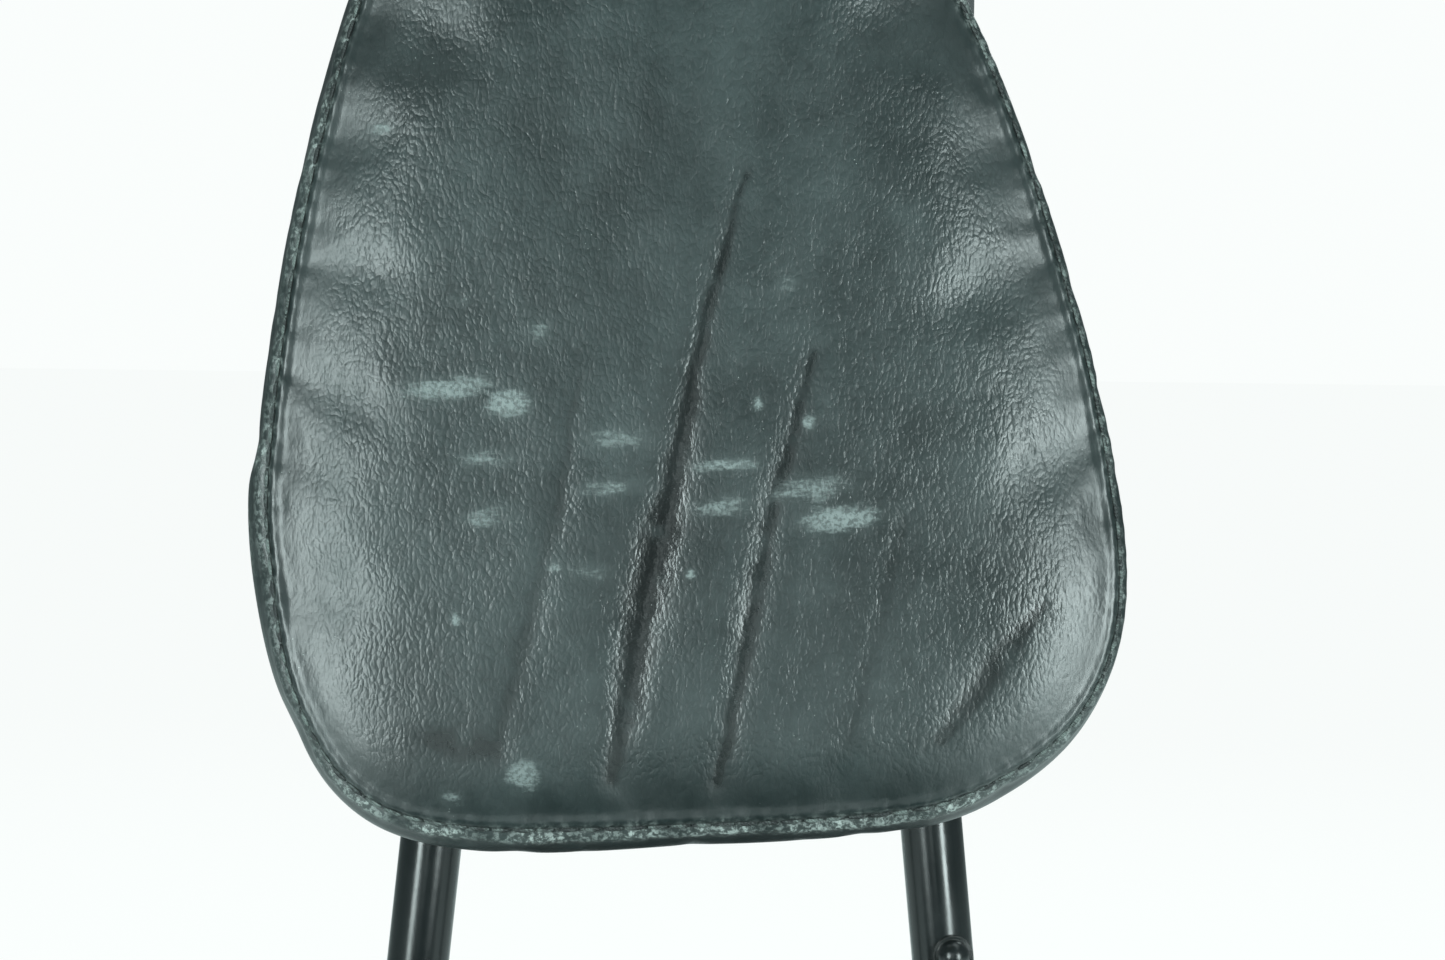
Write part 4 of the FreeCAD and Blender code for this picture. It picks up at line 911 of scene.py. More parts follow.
back.data.transform(TO_BACK @ Matrix.Scale(1 / MM, 4))
finished(back, "frame", "leather", "back_cushion", material=LEATHER)

# %% [markdown]
# ## Stitches
# A lockstitch shows as short thick threads, each dipping into a hole at both ends. They could be
# a bumpy stripe in the material, but real threads catch the light and cast their own shadow. One
# thread is shaped once, and a node tree sets it along the seam at the machine's stitch length,
# turned to follow the line and to stand off the leather.

# %% A stitch and the tree that repeats things along a line
def lozenge(name, length, width, height, rings=5, sides=6):
    """A short bowed thread along X, closed at both ends, standing up in Z."""
    points = []
    for i in range(rings):
        t = i / (rings - 1)
        swell = math.sin(math.pi * (0.12 + 0.76 * t)) ** 0.6
        for j in range(sides):
            a = 2 * math.pi * j / sides
            points.append((length * (t - 0.5), width / 2 * swell * math.cos(a),
                           height * (swell - 0.8) + height / 2 * swell * math.sin(a)))
    return closed_piece(name, points, tube_faces(rings, sides))


def geo_tree(name, extra):
    """A Geometry Nodes tree with a Geometry in and out and the extra named inputs."""
    tree = bpy.data.node_groups.new(name, "GeometryNodeTree")
    for way in ("INPUT", "OUTPUT"):
        tree.interface.new_socket("Geometry", in_out=way, socket_type="NodeSocketGeometry")
    for label, kind in extra:
        tree.interface.new_socket(label, in_out="INPUT", socket_type=f"NodeSocket{kind}")
    return tree, tree.nodes.new("NodeGroupInput"), tree.nodes.new("NodeGroupOutput")


def finish_tree(tree, given, end, instances):
    """Make the copies real and give them their material."""
    real = add_node(tree, "GeometryNodeRealizeInstances", {"Geometry": instances})
    dressed = add_node(tree, "GeometryNodeSetMaterial",
                       {"Geometry": real.outputs[0], "Material": given.outputs["Material"]})
    tree.links.new(dressed.outputs[0], end.inputs[0])
    return tree


def number_socket(sockets, label):
    """A node's plain number socket, where it has vector and whole-number ones of the same name."""
    return next(s for s in sockets if s.name == label and s.type == "VALUE")


def facing_up(tree):
    """A rotation that stands Z along the point's 'up' attribute."""
    up = add_node(tree, "GeometryNodeInputNamedAttribute", {"Name": "up"}, data_type="FLOAT_VECTOR")
    return add_node(tree, "FunctionNodeAlignRotationToVector", {"Vector": up.outputs[0]}, axis="Z").outputs[0]


def copies_at(tree, given, points, rotation):
    part = add_node(tree, "GeometryNodeObjectInfo", {"Object": given.outputs["Part"]})
    return add_node(tree, "GeometryNodeInstanceOnPoints",
                    {"Points": points, "Instance": part.outputs["Geometry"], "Rotation": rotation})


def along_tree():
    """Copies of Part, Pitch apart along a mesh line; their Z follows its 'up' attribute."""
    tree, given, end = geo_tree("copies_along_a_line", [("Part", "Object"), ("Pitch", "Float"),
                                                        ("Uneven", "Float"), ("Seed", "Int"),
                                                        ("Material", "Material")])
    curve = add_node(tree, "GeometryNodeMeshToCurve", {0: given.outputs["Geometry"]})
    stops = add_node(tree, "GeometryNodeResampleCurve",
                     {"Curve": curve.outputs[0], "Length": given.outputs["Pitch"]}, mode="LENGTH")
    tangent = add_node(tree, "GeometryNodeInputTangent")
    turned = add_node(tree, "FunctionNodeAlignRotationToVector",
                      {"Rotation": facing_up(tree), "Vector": tangent.outputs[0]}, axis="X", pivot_axis="Z")
    size = add_node(tree, "FunctionNodeRandomValue", {"Seed": given.outputs["Seed"]}, data_type="FLOAT")
    plug(tree, number_socket(size.inputs, "Min"), inverse(tree, given.outputs["Uneven"]))
    plug(tree, number_socket(size.inputs, "Max"), plus(tree, 1.0, given.outputs["Uneven"]))
    copies = copies_at(tree, given, stops.outputs[0], turned.outputs[0])
    plug(tree, copies.inputs["Scale"], number_socket(size.outputs, "Value"))
    return finish_tree(tree, given, end, copies.outputs[0])


ALONG = along_tree()


def run_tree(obj, tree, name, **inputs):
    """The tree's result on obj as a plain mesh; inputs are set by their sockets' identifiers."""
    modifier = obj.modifiers.new("nodes", "NODES")
    modifier.node_group = tree
    ids = {s.name: s.identifier for s in tree.interface.items_tree if s.in_out == "INPUT"}
    for label, value in inputs.items():
        modifier[ids[label]] = value
    mesh = bpy.data.meshes.new_from_object(obj.evaluated_get(bpy.context.evaluated_depsgraph_get()))
    bpy.data.objects.remove(obj)
    return new_object(name, mesh)


def line_with_up(name, points, ups, closed=True):
    edges = neighbours(len(points))
    if not closed:
        edges.pop()
    mesh = bpy.data.meshes.new(name)
    mesh.from_pydata([tuple(p) for p in points], edges, [])
    layer = mesh.attributes.new("up", "FLOAT_VECTOR", "POINT")
    layer.data.foreach_set("vector", np.asarray(ups, np.float32).ravel())
    return new_object(name, mesh)


print(ALONG.name, "has", len(ALONG.nodes), "nodes")

# %% Thread, and the backrest's stitches
# The gap colour is painted shade between the thread's plies.
THREAD_BLACK, THREAD_GAP_SHADE = (0.012, 0.017, 0.017, 1), (0.004, 0.005, 0.005, 1)
THREAD_WORN = (0.13, 0.16, 0.15, 1)
THREAD_WIDE, THREAD_TALL, STITCH_SHARE, SEAM_TIP = 1.9, 0.9, 0.86, math.radians(35)


def thread_material():
    material, tree, shader = new_material("worn_thread_with_painted_shade")
    place = own_place(tree)
    slanted = stretched(tree, place, (1, 1, 1), (0.5, 0.6, 0.8))
    twist = add_node(tree, "TexWave", {"Vector": slanted, "Scale": 420.0, "Distortion": 1.5}).outputs["Fac"]
    patches = ramp(tree, noise(tree, place, 130.0, 4.0, 0.7), 0.42, 0.62)
    colour = blend(tree, patches, THREAD_BLACK, THREAD_WORN)
    # Painted shade darkens the grooves between the thread's plies.
    colour = blend(tree, times(tree, twist, 0.35), colour, THREAD_GAP_SHADE)
    feed(tree, shader, Base_Color=colour, Roughness=plus(tree, times(tree, patches, 0.2), 0.6),
         Normal=bump(tree, twist, 0.6, 0.0003))
    return material


THREAD = thread_material()


def inward(outline, by):
    """The closed line moved towards its inside."""
    return outline - outward_of(outline) * by


def stitch_row(name, seam, level, matrix, body, seed):
    """Stitches just inside a pad's seam, leaning outwards; level is their height on the bench."""
    outline = inward(seam, 0.6)
    lean = math.sin(SEAM_TIP)
    square_on = matrix.to_3x3().normalized()
    points = [matrix @ Vector((x, y, level)) for x, y in outline]
    ups = [square_on @ Vector((n[0] * lean, n[1] * lean, math.cos(SEAM_TIP))) for n in outward_of(outline)]
    row = line_with_up("row", points, ups)
    length = float(np.linalg.norm(ahead_of(outline), axis=1).sum() / 2)
    count = round(length / STITCH_PITCH)
    part = lozenge("one_stitch", STITCH_PITCH * STITCH_SHARE * MM, THREAD_WIDE * MM, THREAD_TALL * MM)
    made = run_tree(row, ALONG, name, Part=part, Pitch=length / count * MM, Uneven=0.07, Seed=seed,
                    Material=THREAD)
    bpy.data.objects.remove(part)
    print(f"{name}: {count} stitches round {length:.0f} mm")
    return finished(made, body, "leather")


stitch_row("backrest_stitches", back_seam, SEAM_DEPTH + 0.5, TO_BACK, "frame", seed=4)

# %% [markdown]
# ## The seat and the forearm pads
# They are sewn the same way as the backrest, from newer hide with less wear, so the same
# functions make them. Only the outline, the thickness and the matrix from bench to machine
# change. The seat sinks a little where its sitter's thighs rest.

# %% Wear and sides of a plain pad
def wear_and_shade_values(obj, outline, seed, soft):
    """Seam shape and attributes of a plain pad still on its bench: worn marks, painted crease shade."""
    here = places(obj.data) / MM
    inset = values_of(obj.data, "inset")
    _, along = far_from(here[:, :2], outline)
    face = smooth_step((inset - 4) / 10)
    push(obj, sewn_edge(inset, along) + soft * ripple(here[:, :2], seed, 55) * face)
    holes = hole_marks(inset, along, 1.7, 0.2)
    rubbed = 0.45 * np.exp(-((inset + 3) / 2.5) ** 2) * np.clip(ripple(here[:, :2], seed + 5, 90), 0, 1)
    # Painted shade of creases; the pad's shape has no creases here.
    crease_shade = np.clip(np.abs(ripple(here[:, :2], seed + 9, 48)) * -14 + 1, 0, 1) * 0.35 * face
    scuffs = np.clip(ripple(here[:, :2], seed + 13, 34) - 0.75, 0, 1) * 1.2 * face
    frayed = np.clip(0.8 * holes + rubbed, 0, 1)
    wear_and_painted_light = {"seam_mm": np.abs(inset), "fold": crease_shade, "scuff": scuffs, "frayed": frayed}
    for name, amount in wear_and_painted_light.items():
        add_values(obj.data, name, amount)


def side_rows(seam_depth, thickness, board):
    """Band rows down a pad of this thickness, then round the board, if any, and under its edge."""
    depths = np.linspace(seam_depth - 1.5, -thickness + 4, 7)
    rows = [(1.2 * math.sin(math.pi * i / 7) + 0.3, depth, 0) for i, depth in enumerate(depths)]
    rows += [(-0.4, -thickness - 0.5 if board else -thickness + 1.2, 1)]
    if board:
        back = -thickness - board
        rows += [(-0.5, -thickness - 6, 1), (-0.5, back - 0.2, 1), (-1.2, back - 0.8, 1)]
    under = -thickness - board - (0.9 if board else -0.4)
    return rows + [(-4, under, 1), (-12, under, 1), (-22, under, 1), (-23, under + 1.2, 1)]


print("rows of band on a 50 mm seat:", len(side_rows(-11, 50, 12)))

# %% The seat
BOARD = 12
SEAT_WIDTH, SEAT_LENGTH, SEAT_CORNER, SEAT_THICKNESS, SEAT_TOP, SEAT_LINE = 380, 330, 85, 50, 470, -155
SEAT_SEAM, SEAT_ROUND = -11, 8
seat_line = rounded_outline(SEAT_WIDTH - SEAT_ROUND, SEAT_LENGTH - SEAT_ROUND,
                            SEAT_CORNER - SEAT_ROUND / 2, 1200)
seat_rows = side_rows(SEAT_SEAM, SEAT_THICKNESS, BOARD)
seat_cover = cover(seat_line, 52, SEAT_SEAM, 10, 5, seat_rows, lambda edge: 2.5)
seat = stuffed("seat_leather", seat_cover, cap=4, growth=0.006)
here = places(seat.data) / MM
thighs = np.exp(-((np.abs(here[:, 0]) - 75) / 60) ** 2 - ((here[:, 1] + 25) / 120) ** 2)
push(seat, -3.0 * thighs * smooth_step(values_of(seat.data, "inset") / 40))
wear_and_shade_values(seat, seat_line, 31, 0.7)
TO_SEAT = Matrix.Scale(MM, 4) @ Matrix.Translation((0, SEAT_LINE, SEAT_TOP))
seat.data.transform(TO_SEAT @ Matrix.Scale(1 / MM, 4))
finished(seat, "seat", "leather", "seat_cushion", material=LEATHER)
stitch_row("seat_stitches", seat_line, SEAT_SEAM + 0.5, TO_SEAT, "seat", seed=6)

# %% The forearm pads
PAD_WIDTH, PAD_HEIGHT, PAD_THICKNESS, PAD_CORNER = 110, 240, 55, 24
PAD_SIDE, PAD_MIDDLE = 560, 1040
PAD_SEAM, PAD_ROUND = -12, 7
pad_line = rounded_outline(PAD_WIDTH - PAD_ROUND, PAD_HEIGHT - PAD_ROUND, PAD_CORNER - 2, 900)
pad_cover = cover(pad_line, 40, PAD_SEAM, 11, 3, side_rows(PAD_SEAM, PAD_THICKNESS, 0), lambda edge: 2)
for number, (side, where) in enumerate((("left", -PAD_SIDE), ("right", PAD_SIDE))):
    pad = stuffed(f"forearm_leather_{side}", pad_cover, cap=3, growth=0.004)
    wear_and_shade_values(pad, pad_line, 51 + 20 * number, 0.5)
    faced = Matrix(((-1, 0, 0, where), (0, 0, 1, PAD_THICKNESS), (0, 1, 0, PAD_MIDDLE), (0, 0, 0, 1)))
    to_pad = Matrix.Scale(MM, 4) @ faced
    pad.data.transform(to_pad @ Matrix.Scale(1 / MM, 4))
    finished(pad, f"{side}_arm", "leather", f"forearm_pad_{side}", material=LEATHER)
    stitch_row(f"forearm_stitches_{side}", pad_line, PAD_SEAM + 0.5, to_pad, f"{side}_arm", seed=8 + number)

# %% [markdown]
# ## Staples behind the boards
# The turned edge of each cover is stapled to its board every 14 mm or so, never quite in line.
# The tree that lays stitches lays staples too, on a line well inside the edge, so only the
# staple has to be shaped. The forearm pads have no board: their edge is turned in behind the foam.

# %% Staples
def bright_metal(name, tone, rough, grime):
    """Plated or bare metal with a cloudy finish."""
    material, tree, shader = new_material(name)
    place = own_place(tree)
    cloudy = noise(tree, place, 60.0, 5.0, 0.6)
    fine = noise(tree, stretched(tree, place, (1, 1, 9)), 900.0, 3.0, 0.6)
    dirt = use(tree, dust, {"Vector": place, "Scale": 30.0, "Amount": grime, "Specks": grime})
    shade = tuple(0.62 * c for c in tone[:3]) + (1,)
    colour = blend(tree, cloudy, shade, tone)
    colour = blend(tree, dirt["Patch"], colour, (0.11, 0.10, 0.085, 1))
    spread = plus(tree, times(tree, cloudy, 0.22), rough)
    spread = plus(tree, spread, times(tree, dirt["Patch"], 0.35))
    feed(tree, shader, Base_Color=colour, Metallic=1.0, Roughness=spread,
         Normal=bump(tree, fine, 0.12, 0.0002))
    return material


ZINC = bright_metal("dull_zinc", (0.55, 0.57, 0.58, 1), 0.26, 0.35)


def staple(name, width, wire):
    """A flat-crowned staple: a bar along X whose ends turn down."""
    tall = wire * 1.6
    left_half = [(-width / 2, -tall), (-width / 2, wire * 0.7), (-width / 2 + wire * 0.5, wire)]
    outer = left_half + [(-x, z) for x, z in reversed(left_half)]
    inner = [(x * (1 - 2 * wire / width), y if y < 0 else 0.0) for x, y in outer]
    ring = outer + inner[::-1]
    points = [(x, y, z) for y in (-wire / 2, wire / 2) for x, z in ring]
    n = len(ring)
    faces = [(i, j, n + j, n + i) for i, j in neighbours(n)]
    half = len(outer)
    for base in (0, n):
        for i in range(half - 1):
            quad = (base + i, base + i + 1, base + n - 2 - i, base + n - 1 - i)
            faces.append(quad if base == 0 else quad[::-1])
    return closed_piece(name, points, faces, smooth=False)


STAPLE_PITCH, STAPLE_WIDE, STAPLE_WIRE, STAPLE_INSET = 14.0, 10, 0.9, 14


def staple_row(name, outline, depth, matrix, body, seed):
    line = inward(outline, STAPLE_INSET)[::4]
    turned = matrix.to_3x3().normalized()
    draw = random.Random(seed)
    wobble = [draw.uniform(-0.5, 0.5) for _ in line]
    points = [matrix @ Vector((x + w, y + w, depth)) for (x, y), w in zip(line, wobble)]
    row = line_with_up("row", points, [turned @ Vector((0, 0, -1)) for _ in points])
    part = staple("one_staple", STAPLE_WIDE * MM, STAPLE_WIRE * MM)
    made = run_tree(row, ALONG, name, Part=part, Pitch=STAPLE_PITCH * MM, Uneven=0.03, Seed=seed,
                    Material=ZINC)
    bpy.data.objects.remove(part)
    return finished(made, body, "zinc_steel")


staple_row("backrest_staples", back_board_line, -CUSHION - BOARD - 1.0, TO_BACK, "frame", 12)
staple_row("seat_staples", seat_line, -SEAT_THICKNESS - BOARD - 1.0, TO_SEAT, "seat", 13)

# %% [markdown]
# ## Cables
# Each arm's drum winds a 5 mm wire rope that runs to a pulley behind it and down to the weights.
# Such a rope is six strands laid round a core, so its cross-section is a ring of lobes that
# turns as it goes. Sweeping that ring along the path takes far fewer faces than winding six
# separate wires. The part over the pulley keeps its shape while the rope moves through it. In the
# machine the part that hangs gets shorter as the weights rise; here it is given a mesh of its own.

# %% Stranded rope along a path
ROPE_RADIUS, STRANDS, LAY, ROPE_STEP, ROPE_AROUND = 2.4, 6, 30.0, 1.6, 18


def path_length(path):
    return float(np.linalg.norm(np.diff(path, axis=0), axis=1).sum())


def rope(name, path):
    """A laid wire rope along an open path in mm, closed at its ends."""
    path = np.array(path, float)
    count = max(int(path_length(path) / ROPE_STEP), 2)
    travelled = np.concatenate([[0], np.cumsum(np.linalg.norm(np.diff(path, axis=0), axis=1))])
    stops = np.linspace(0, travelled[-1], count)
    path = np.stack([np.interp(stops, travelled, path[:, i]) for i in range(3)], axis=1)
    ahead = np.gradient(path, axis=0)
    ahead /= np.linalg.norm(ahead, axis=1)[:, None]
    side = np.cross(ahead[0], (0.0, 0.0, 1.0) if abs(ahead[0][2]) < 0.9 else (1.0, 0.0, 0.0))
    turns = np.linspace(0, 2 * math.pi, ROPE_AROUND, endpoint=False)
    lobes = ROPE_RADIUS * (0.9 + 0.12 * np.abs(np.cos(STRANDS * turns / 2)))[:, None]
    points = []
    for i in range(count):
        side = side - ahead[i] * (side @ ahead[i])
        side /= np.linalg.norm(side)
        other = np.cross(ahead[i], side)
        angles = (turns + 2 * math.pi * stops[i] / LAY)[:, None]
        points.extend(path[i] + lobes * (np.cos(angles) * side + np.sin(angles) * other))
    return closed_piece(name, np.array(points) * MM, tube_faces(count, ROPE_AROUND))


def arc(centre, across, up, radius, begin, end, steps=60):
    """Points on a circle about centre in the plane of two unit vectors, from begin to end in degrees."""
    turns = np.radians(np.linspace(begin, end, steps))[:, None]
    return np.array(centre) + radius * (np.cos(turns) * np.array(across) + np.sin(turns) * np.array(up))


ROPE = bright_metal("greasy_wire_rope", (0.34, 0.34, 0.33, 1), 0.34, 0.8)
print("strands", STRANDS, "lay", LAY, "mm")

# %% The two ropes
DRUM_RADIUS, ROPE_LEVEL, DRUM_SIDE, DRUM_LINE = 70, 1480.3, 190, -20
PULLEY_RADIUS, PULLEY_LEVEL, PULLEY_SIDE, PULLEY_LINE = 30, 1450.3, 131.83, 324.03
DROP_SIDE, DROP_LINE, SWAGE_LEVEL = 121, 352, 396.0
LIFT, SWING = 122.3, 100
WOUND_FROM, WOUND_TO = 4, 236

for side, sign in (("left", -1), ("right", 1)):
    pulley = np.array([sign * PULLEY_SIDE, PULLEY_LINE, PULLEY_LEVEL])
    drop = np.array([sign * DROP_SIDE, DROP_LINE, PULLEY_LEVEL])
    away = (drop - pulley) / np.linalg.norm(drop - pulley)
    bend = arc(pulley, away, (0, 0, 1), PULLEY_RADIUS, 0, 90, 30)
    drum = np.array([sign * DRUM_SIDE, DRUM_LINE, ROPE_LEVEL])
    outside = np.array([sign, 0, 0]) - away * (np.array([sign, 0, 0]) @ away)
    outside /= np.linalg.norm(outside)
    leaves = (drum + outside * DRUM_RADIUS)[None]
    onward = np.cross(outside, np.cross(-away, outside))
    held_part = arc(drum, outside, onward, DRUM_RADIUS, 0, SWING)
    run = rope(f"rope_over_pulley_{side}", np.vstack([bend, leaves, held_part[1:]]))
    hang = rope(f"rope_down_{side}", [drop, (drop[0], drop[1], SWAGE_LEVEL)])
    wound = rope(f"rope_on_drum_{side}", arc(drum, outside, onward, DRUM_RADIUS, WOUND_FROM, WOUND_TO, 120))
    old_run, old_drop = (["cable_runs"], ["cable_drops"]) if side == "left" else ([], [])
    finished(run, "frame", "wire_rope", *old_run, material=ROPE)
    finished(hang, "frame", "wire_rope", *old_drop, material=ROPE)
    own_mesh(hang)
    finished(wound, f"{side}_arm", "wire_rope", f"cable_wrap_{side}", material=ROPE)
    print(side, "rope from drum to drop", round(path_length(np.vstack([bend, leaves]))), "mm")

# %% [markdown]
# ## Finishes for the parts that keep their CAD shape
# The frame is steel in gloss black enamel, which shows a faint orange peel, dust in patches and
# bare metal at worn edges. Guide rods are ground and chromed, weights are cast iron in
# hammered grey, drums are turned aluminium. These parts need no new shape, because rounded edges
# and wear can come from the shader. Each finish is one function or a call of one.

# %% Painted and metal finishes
def enamel():
    material, tree, shader = new_material("black_enamel")
    place = own_place(tree)
    worn = use(tree, edge_wear, {"Vector": place, "Radius": 0.0012, "Amount": 0.55})
    peel = noise(tree, place, 260.0, 2.0, 0.5)
    haze = noise(tree, place, 24.0, 5.0, 0.6)
    dirt = use(tree, dust, {"Vector": place, "Scale": 18.0, "Amount": 0.10, "Specks": 0.35})
    colour = blend(tree, haze, (0.0045, 0.0065, 0.0070, 1), (0.011, 0.014, 0.0145, 1))
    colour = blend(tree, dirt["Patch"], colour, (0.05, 0.06, 0.06, 1))
    colour = blend(tree, dirt["Specks"], colour, (0.25, 0.27, 0.26, 1))
    colour = blend(tree, worn["Mask"], colour, (0.20, 0.20, 0.19, 1))
    spread = plus(tree, times(tree, haze, 0.16), 0.12)
    spread = plus(tree, spread, times(tree, dirt["Patch"], 0.5))
    feed(tree, shader, Base_Color=colour, Roughness=spread, Metallic=times(tree, worn["Mask"], 0.8),
         Normal=bump(tree, peel, 0.10, 0.0004, worn["Normal"]))
    return material


def cast_iron():
    material, tree, shader = new_material("hammered_iron")
    place = own_place(tree)
    worn = use(tree, edge_wear, {"Vector": place, "Radius": 0.0018, "Amount": 1.1})
    pits = add_node(tree, "TexVoronoi", {"Vector": place, "Scale": 240.0},
                    feature="SMOOTH_F1").outputs["Distance"]
    sand = noise(tree, place, 900.0, 3.0, 0.7)
    cloudy = noise(tree, place, 16.0, 5.0, 0.6)
    dirt = use(tree, dust, {"Vector": place, "Scale": 9.0, "Amount": 0.35, "Specks": 0.3})
    colour = blend(tree, cloudy, (0.018, 0.020, 0.022, 1), (0.045, 0.048, 0.050, 1))
    colour = blend(tree, worn["Mask"], colour, (0.24, 0.22, 0.20, 1))
    colour = blend(tree, dirt["Patch"], colour, (0.11, 0.105, 0.095, 1))
    height = plus(tree, pits, times(tree, sand, 0.35))
    feed(tree, shader, Base_Color=colour, Roughness=plus(tree, times(tree, cloudy, 0.25), 0.38),
         Metallic=times(tree, worn["Mask"], 0.9), Normal=bump(tree, height, 0.5, 0.0007, worn["Normal"]))
    return material


ENAMEL, IRON = enamel(), cast_iron()
print(ENAMEL.name, len(ENAMEL.node_tree.nodes), "nodes;", IRON.name, len(IRON.node_tree.nodes))


# %% Rubber, plastic and plywood
def moulded(name, low, high, rough, grain_scale, depth):
    """Rubber or plastic: two close tones, moulding grain, dust in patches."""
    material, tree, shader = new_material(name)
    place = own_place(tree)
    cloudy = noise(tree, place, 35.0, 4.0, 0.6)
    grain = noise(tree, place, grain_scale, 4.0, 0.65)
    dirt = use(tree, dust, {"Vector": place, "Scale": 26.0, "Amount": 0.4, "Specks": 0.3})
    grime = tuple(0.5 * (a + 0.12) for a in high[:3]) + (1,)
    colour = blend(tree, dirt["Patch"], blend(tree, cloudy, low, high), grime)
    feed(tree, shader, Base_Color=colour, Roughness=plus(tree, times(tree, grain, 0.2), rough),
         Normal=bump(tree, grain, 0.5, depth))
    return material


VENEERS_PER_METRE = 330.0


def plywood(name, turn):
    """Birch ply: veneers across the thickness, with the grain along one way then the other."""
    material, tree, shader = new_material(name)
    place = stretched(tree, own_place(tree), (1, 1, 1), turn)
    depth = add_node(tree, "SeparateXYZ", {"Vector": place}).outputs["Z"]
    veneer = maths(tree, "FRACT", times(tree, depth, VENEERS_PER_METRE))
    from_line = maths(tree, "ABSOLUTE", maths(tree, "SUBTRACT", veneer, 0.5))
    glue = inverse(tree, ramp(tree, from_line, 0.03, 0.12))
    fibres = noise(tree, stretched(tree, place, (1.0, 14.0, 14.0)), 40.0, 6.0, 0.65)
    rings = add_node(tree, "TexWave", {"Vector": stretched(tree, place, (0.4, 3.0, 3.0)), "Scale": 14.0,
                                       "Distortion": 6.0, "Detail": 3.0}).outputs["Fac"]
    colour = blend(tree, fibres, (0.38, 0.24, 0.12, 1), (0.62, 0.45, 0.27, 1))
    colour = blend(tree, times(tree, rings, 0.3), colour, (0.30, 0.17, 0.08, 1))
    colour = blend(tree, times(tree, glue, 0.6), colour, (0.12, 0.07, 0.035, 1))
    feed(tree, shader, Base_Color=colour, Roughness=plus(tree, times(tree, fibres, 0.25), 0.52),
         Normal=bump(tree, fibres, 0.35, 0.0004))
    return material


RUBBER = moulded("black_rubber", (0.006, 0.007, 0.007, 1), (0.016, 0.018, 0.018, 1), 0.62, 700.0, 0.0003)
PLASTIC = moulded("black_plastic", (0.008, 0.009, 0.010, 1), (0.018, 0.020, 0.021, 1), 0.33, 1400.0, 0.0001)
NYLON = moulded("white_nylon", (0.46, 0.45, 0.40, 1), (0.62, 0.60, 0.54, 1), 0.28, 900.0, 0.0001)
PLY_BACK = plywood("birch_ply_back", (RECLINE - math.pi / 2, 0, 0))
PLY_SEAT = plywood("birch_ply_seat", (0, 0, 0))
print("veneers are", round(1000 / VENEERS_PER_METRE, 1), "mm thick")

# %% Every CAD part gets its finish
CHROME = bright_metal("ground_chrome", (0.78, 0.80, 0.81, 1), 0.05, 0.12)
ALUMINIUM = bright_metal("turned_aluminium", (0.66, 0.67, 0.68, 1), 0.24, 0.25)
BRONZE = bright_metal("oiled_bronze", (0.52, 0.31, 0.13, 1), 0.28, 0.5)
FINISHES = {"frame_paint": ENAMEL, "cast_iron": IRON, "bright_steel": CHROME, "drum_metal": ALUMINIUM,
            "bronze": BRONZE, "rubber": RUBBER, "black_plastic": PLASTIC, "nylon": NYLON,
            "zinc_steel": ZINC, "plywood": PLY_SEAT, "wire_rope": ROPE, "leather": LEATHER}
OWN_FINISH = {"back_board": PLY_BACK, "upright_dome_bolt": ENAMEL}
for name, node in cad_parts.items():
    slots = node.data.materials
    for index in range(len(slots)):
        slots[index] = OWN_FINISH.get(name) or FINISHES[slots[index].name.split(".")[0]]
print("finishes:", ", ".join(sorted(FINISHES)))

# %% [markdown]
# ## Screws
# The forearm pads are held by button-head screws with a hexagon socket over a washer. One head
# is drawn as a turned profile with its socket cut in. A tree sets copies on a handful of points
# that carry the direction they face, with a random turn, as a fitter leaves them.

# %% Screw heads
def turned_profile(profile, sides, socket=()):
    """Points and faces of a profile (radius, height) turned about Z; its socket rows are hexagons."""
    points = []
    for row, (radius, height) in enumerate(profile):
        for j in range(sides):
            a = 2 * math.pi * j / sides
            flat = math.cos(math.pi / 6) / math.cos((a % (math.pi / 3)) - math.pi / 6)
            r = radius * flat if row in socket else radius
            points.append((r * math.cos(a), r * math.sin(a), height))
    return points, tube_faces(len(profile), sides)


def button_head(name, radius, height, washer):
    """Washer, domed head and hexagon socket, standing on Z = 0."""
    profile = [(radius * 0.4, 0), (washer, 0), (washer, height * 0.22), (radius * 1.0, height * 0.24),
               (radius, height * 0.42), (radius * 0.93, height * 0.68), (radius * 0.75, height * 0.88),
               (radius * 0.5, height), (radius * 0.42, height * 0.97), (radius * 0.42, height * 0.35)]
    points, faces = turned_profile([(r * MM, h * MM) for r, h in profile], 24, socket=(8, 9))
    return closed_piece(name, points, faces, sharp=35)


def points_tree():
    """Copies of Part on each point, Z along its 'up', with a random turn about it."""
    tree, given, end = geo_tree("copies_on_points", [("Part", "Object"), ("Seed", "Int"),
                                                     ("Material", "Material")])
    turn = add_node(tree, "FunctionNodeRandomValue", {"Seed": given.outputs["Seed"]}, data_type="FLOAT")
    plug(tree, number_socket(turn.inputs, "Max"), 2 * math.pi)
    euler = add_node(tree, "CombineXYZ", {"Z": number_socket(turn.outputs, "Value")})
    spin = add_node(tree, "FunctionNodeEulerToRotation", {0: euler.outputs[0]})
    both = add_node(tree, "FunctionNodeRotateRotation",
                    {"Rotation": facing_up(tree), "Rotate By": spin.outputs[0]}, rotation_space="LOCAL")
    cloud = add_node(tree, "GeometryNodeMeshToPoints", {"Mesh": given.outputs["Geometry"]})
    copies = copies_at(tree, given, cloud.outputs[0], both.outputs[0])
    return finish_tree(tree, given, end, copies.outputs[0])


ON_POINTS = points_tree()


def set_on_points(name, part, points, up, material, seed):
    spots = line_with_up("spots", points, [up] * len(points), closed=False)
    return run_tree(spots, ON_POINTS, name, Part=part, Seed=seed, Material=material)


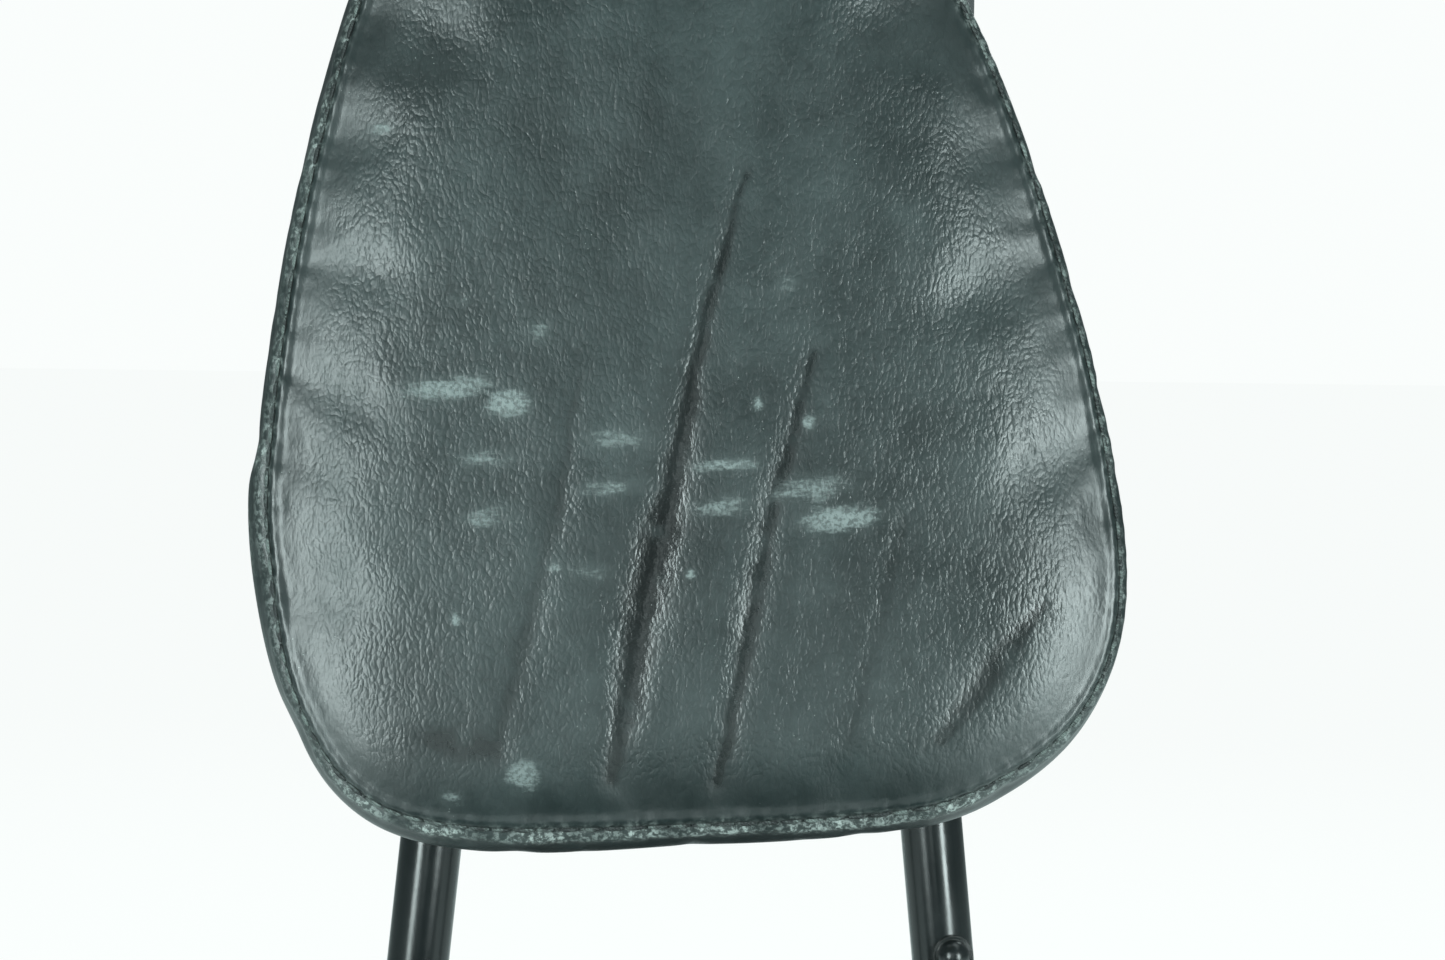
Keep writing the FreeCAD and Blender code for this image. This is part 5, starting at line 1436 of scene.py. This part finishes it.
def loose_parts(obj):
    """The separate solids of a CAD node, each as an array of its points in metres."""
    whole = bmesh.new()
    whole.from_mesh(obj.data)
    bmesh.ops.remove_doubles(whole, verts=whole.verts, dist=1e-6)
    left, parts = set(whole.verts), []
    while left:
        queue, found = [left.pop()], []
        while queue:
            vert = queue.pop()
            found.append(vert.co.copy())
            for edge in vert.link_edges:
                other = edge.other_vert(vert)
                if other in left:
                    left.remove(other)
                    queue.append(other)
        parts.append(np.array(found))
    whole.free()
    return parts


SCREW_FACE = -4
pad_screw = button_head("pad_screw", 5.6, 4.0, 6.5)
for side in ("left", "right"):
    middles = [part.mean(axis=0) for part in loose_parts(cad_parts[f"forearm_screws_{side}"])]
    seats = [Vector((m[0], SCREW_FACE * MM, m[2])) for m in middles]
    heads = set_on_points(f"forearm_screw_heads_{side}", pad_screw, seats, Vector((0, -1, 0)), ZINC, seed=5)
    finished(heads, f"{side}_arm", "zinc_steel", f"forearm_screws_{side}")
bpy.data.objects.remove(pad_screw)
print("screws on each forearm pad:", len(seats))

# %% [markdown]
# ## Hand grips
# Each grip is a rubber sleeve with rounded ribs for the fingers and a rolled collar at both
# ends. An array of rings would do, but the sleeve is one moulding, so the ribs are drawn in its
# profile and the whole is turned, as on a lathe.

# %% Hand grips
GRIP_OUT, GRIP_IN, GRIP_LOW, GRIP_TALL, GRIP_SIDES = 20.0, 16.0, 1168.0, 100.0, 48
GRIP_SIDE, GRIP_LINE, COLLAR, RIBS = 560, -20, 7, 13
RIB = [(-2.0, 0), (-1.0, 1.2), (-0.5, 2.6), (-1.0, 4.2), (-2.0, 5.4)]
RIB_PITCH = (GRIP_TALL - 2 * COLLAR) / RIBS

profile = [(GRIP_IN, 0.0), (GRIP_OUT - 1.2, 0), (GRIP_OUT, 1.0), (GRIP_OUT, 4.0), (GRIP_OUT - 1.4, 6.0)]
for rib in range(RIBS):
    profile += [(GRIP_OUT + out, COLLAR + rib * RIB_PITCH + up) for out, up in RIB]
profile += [(GRIP_OUT - 1.4, GRIP_TALL - 6), (GRIP_OUT, GRIP_TALL - 4), (GRIP_OUT, GRIP_TALL - 1),
            (GRIP_OUT - 1.2, GRIP_TALL), (GRIP_IN, GRIP_TALL)]
points, faces = turned_profile(profile, GRIP_SIDES)
top = (len(profile) - 1) * GRIP_SIDES
bore = [(j, top + j, top + k, k) for j, k in neighbours(GRIP_SIDES)]
for side, sign in (("left", -1), ("right", 1)):
    place = Vector((sign * GRIP_SIDE, GRIP_LINE, GRIP_LOW))
    placed = [(Vector(p) + place) * MM for p in points]
    grip = closed_piece(f"hand_grip_ribbed_{side}", placed, faces[:-2] + bore, sharp=60)
    finished(grip, f"{side}_arm", "rubber", f"hand_grip_{side}", material=RUBBER)
print("ribs", RIBS, "each", round(RIB_PITCH, 1), "mm")
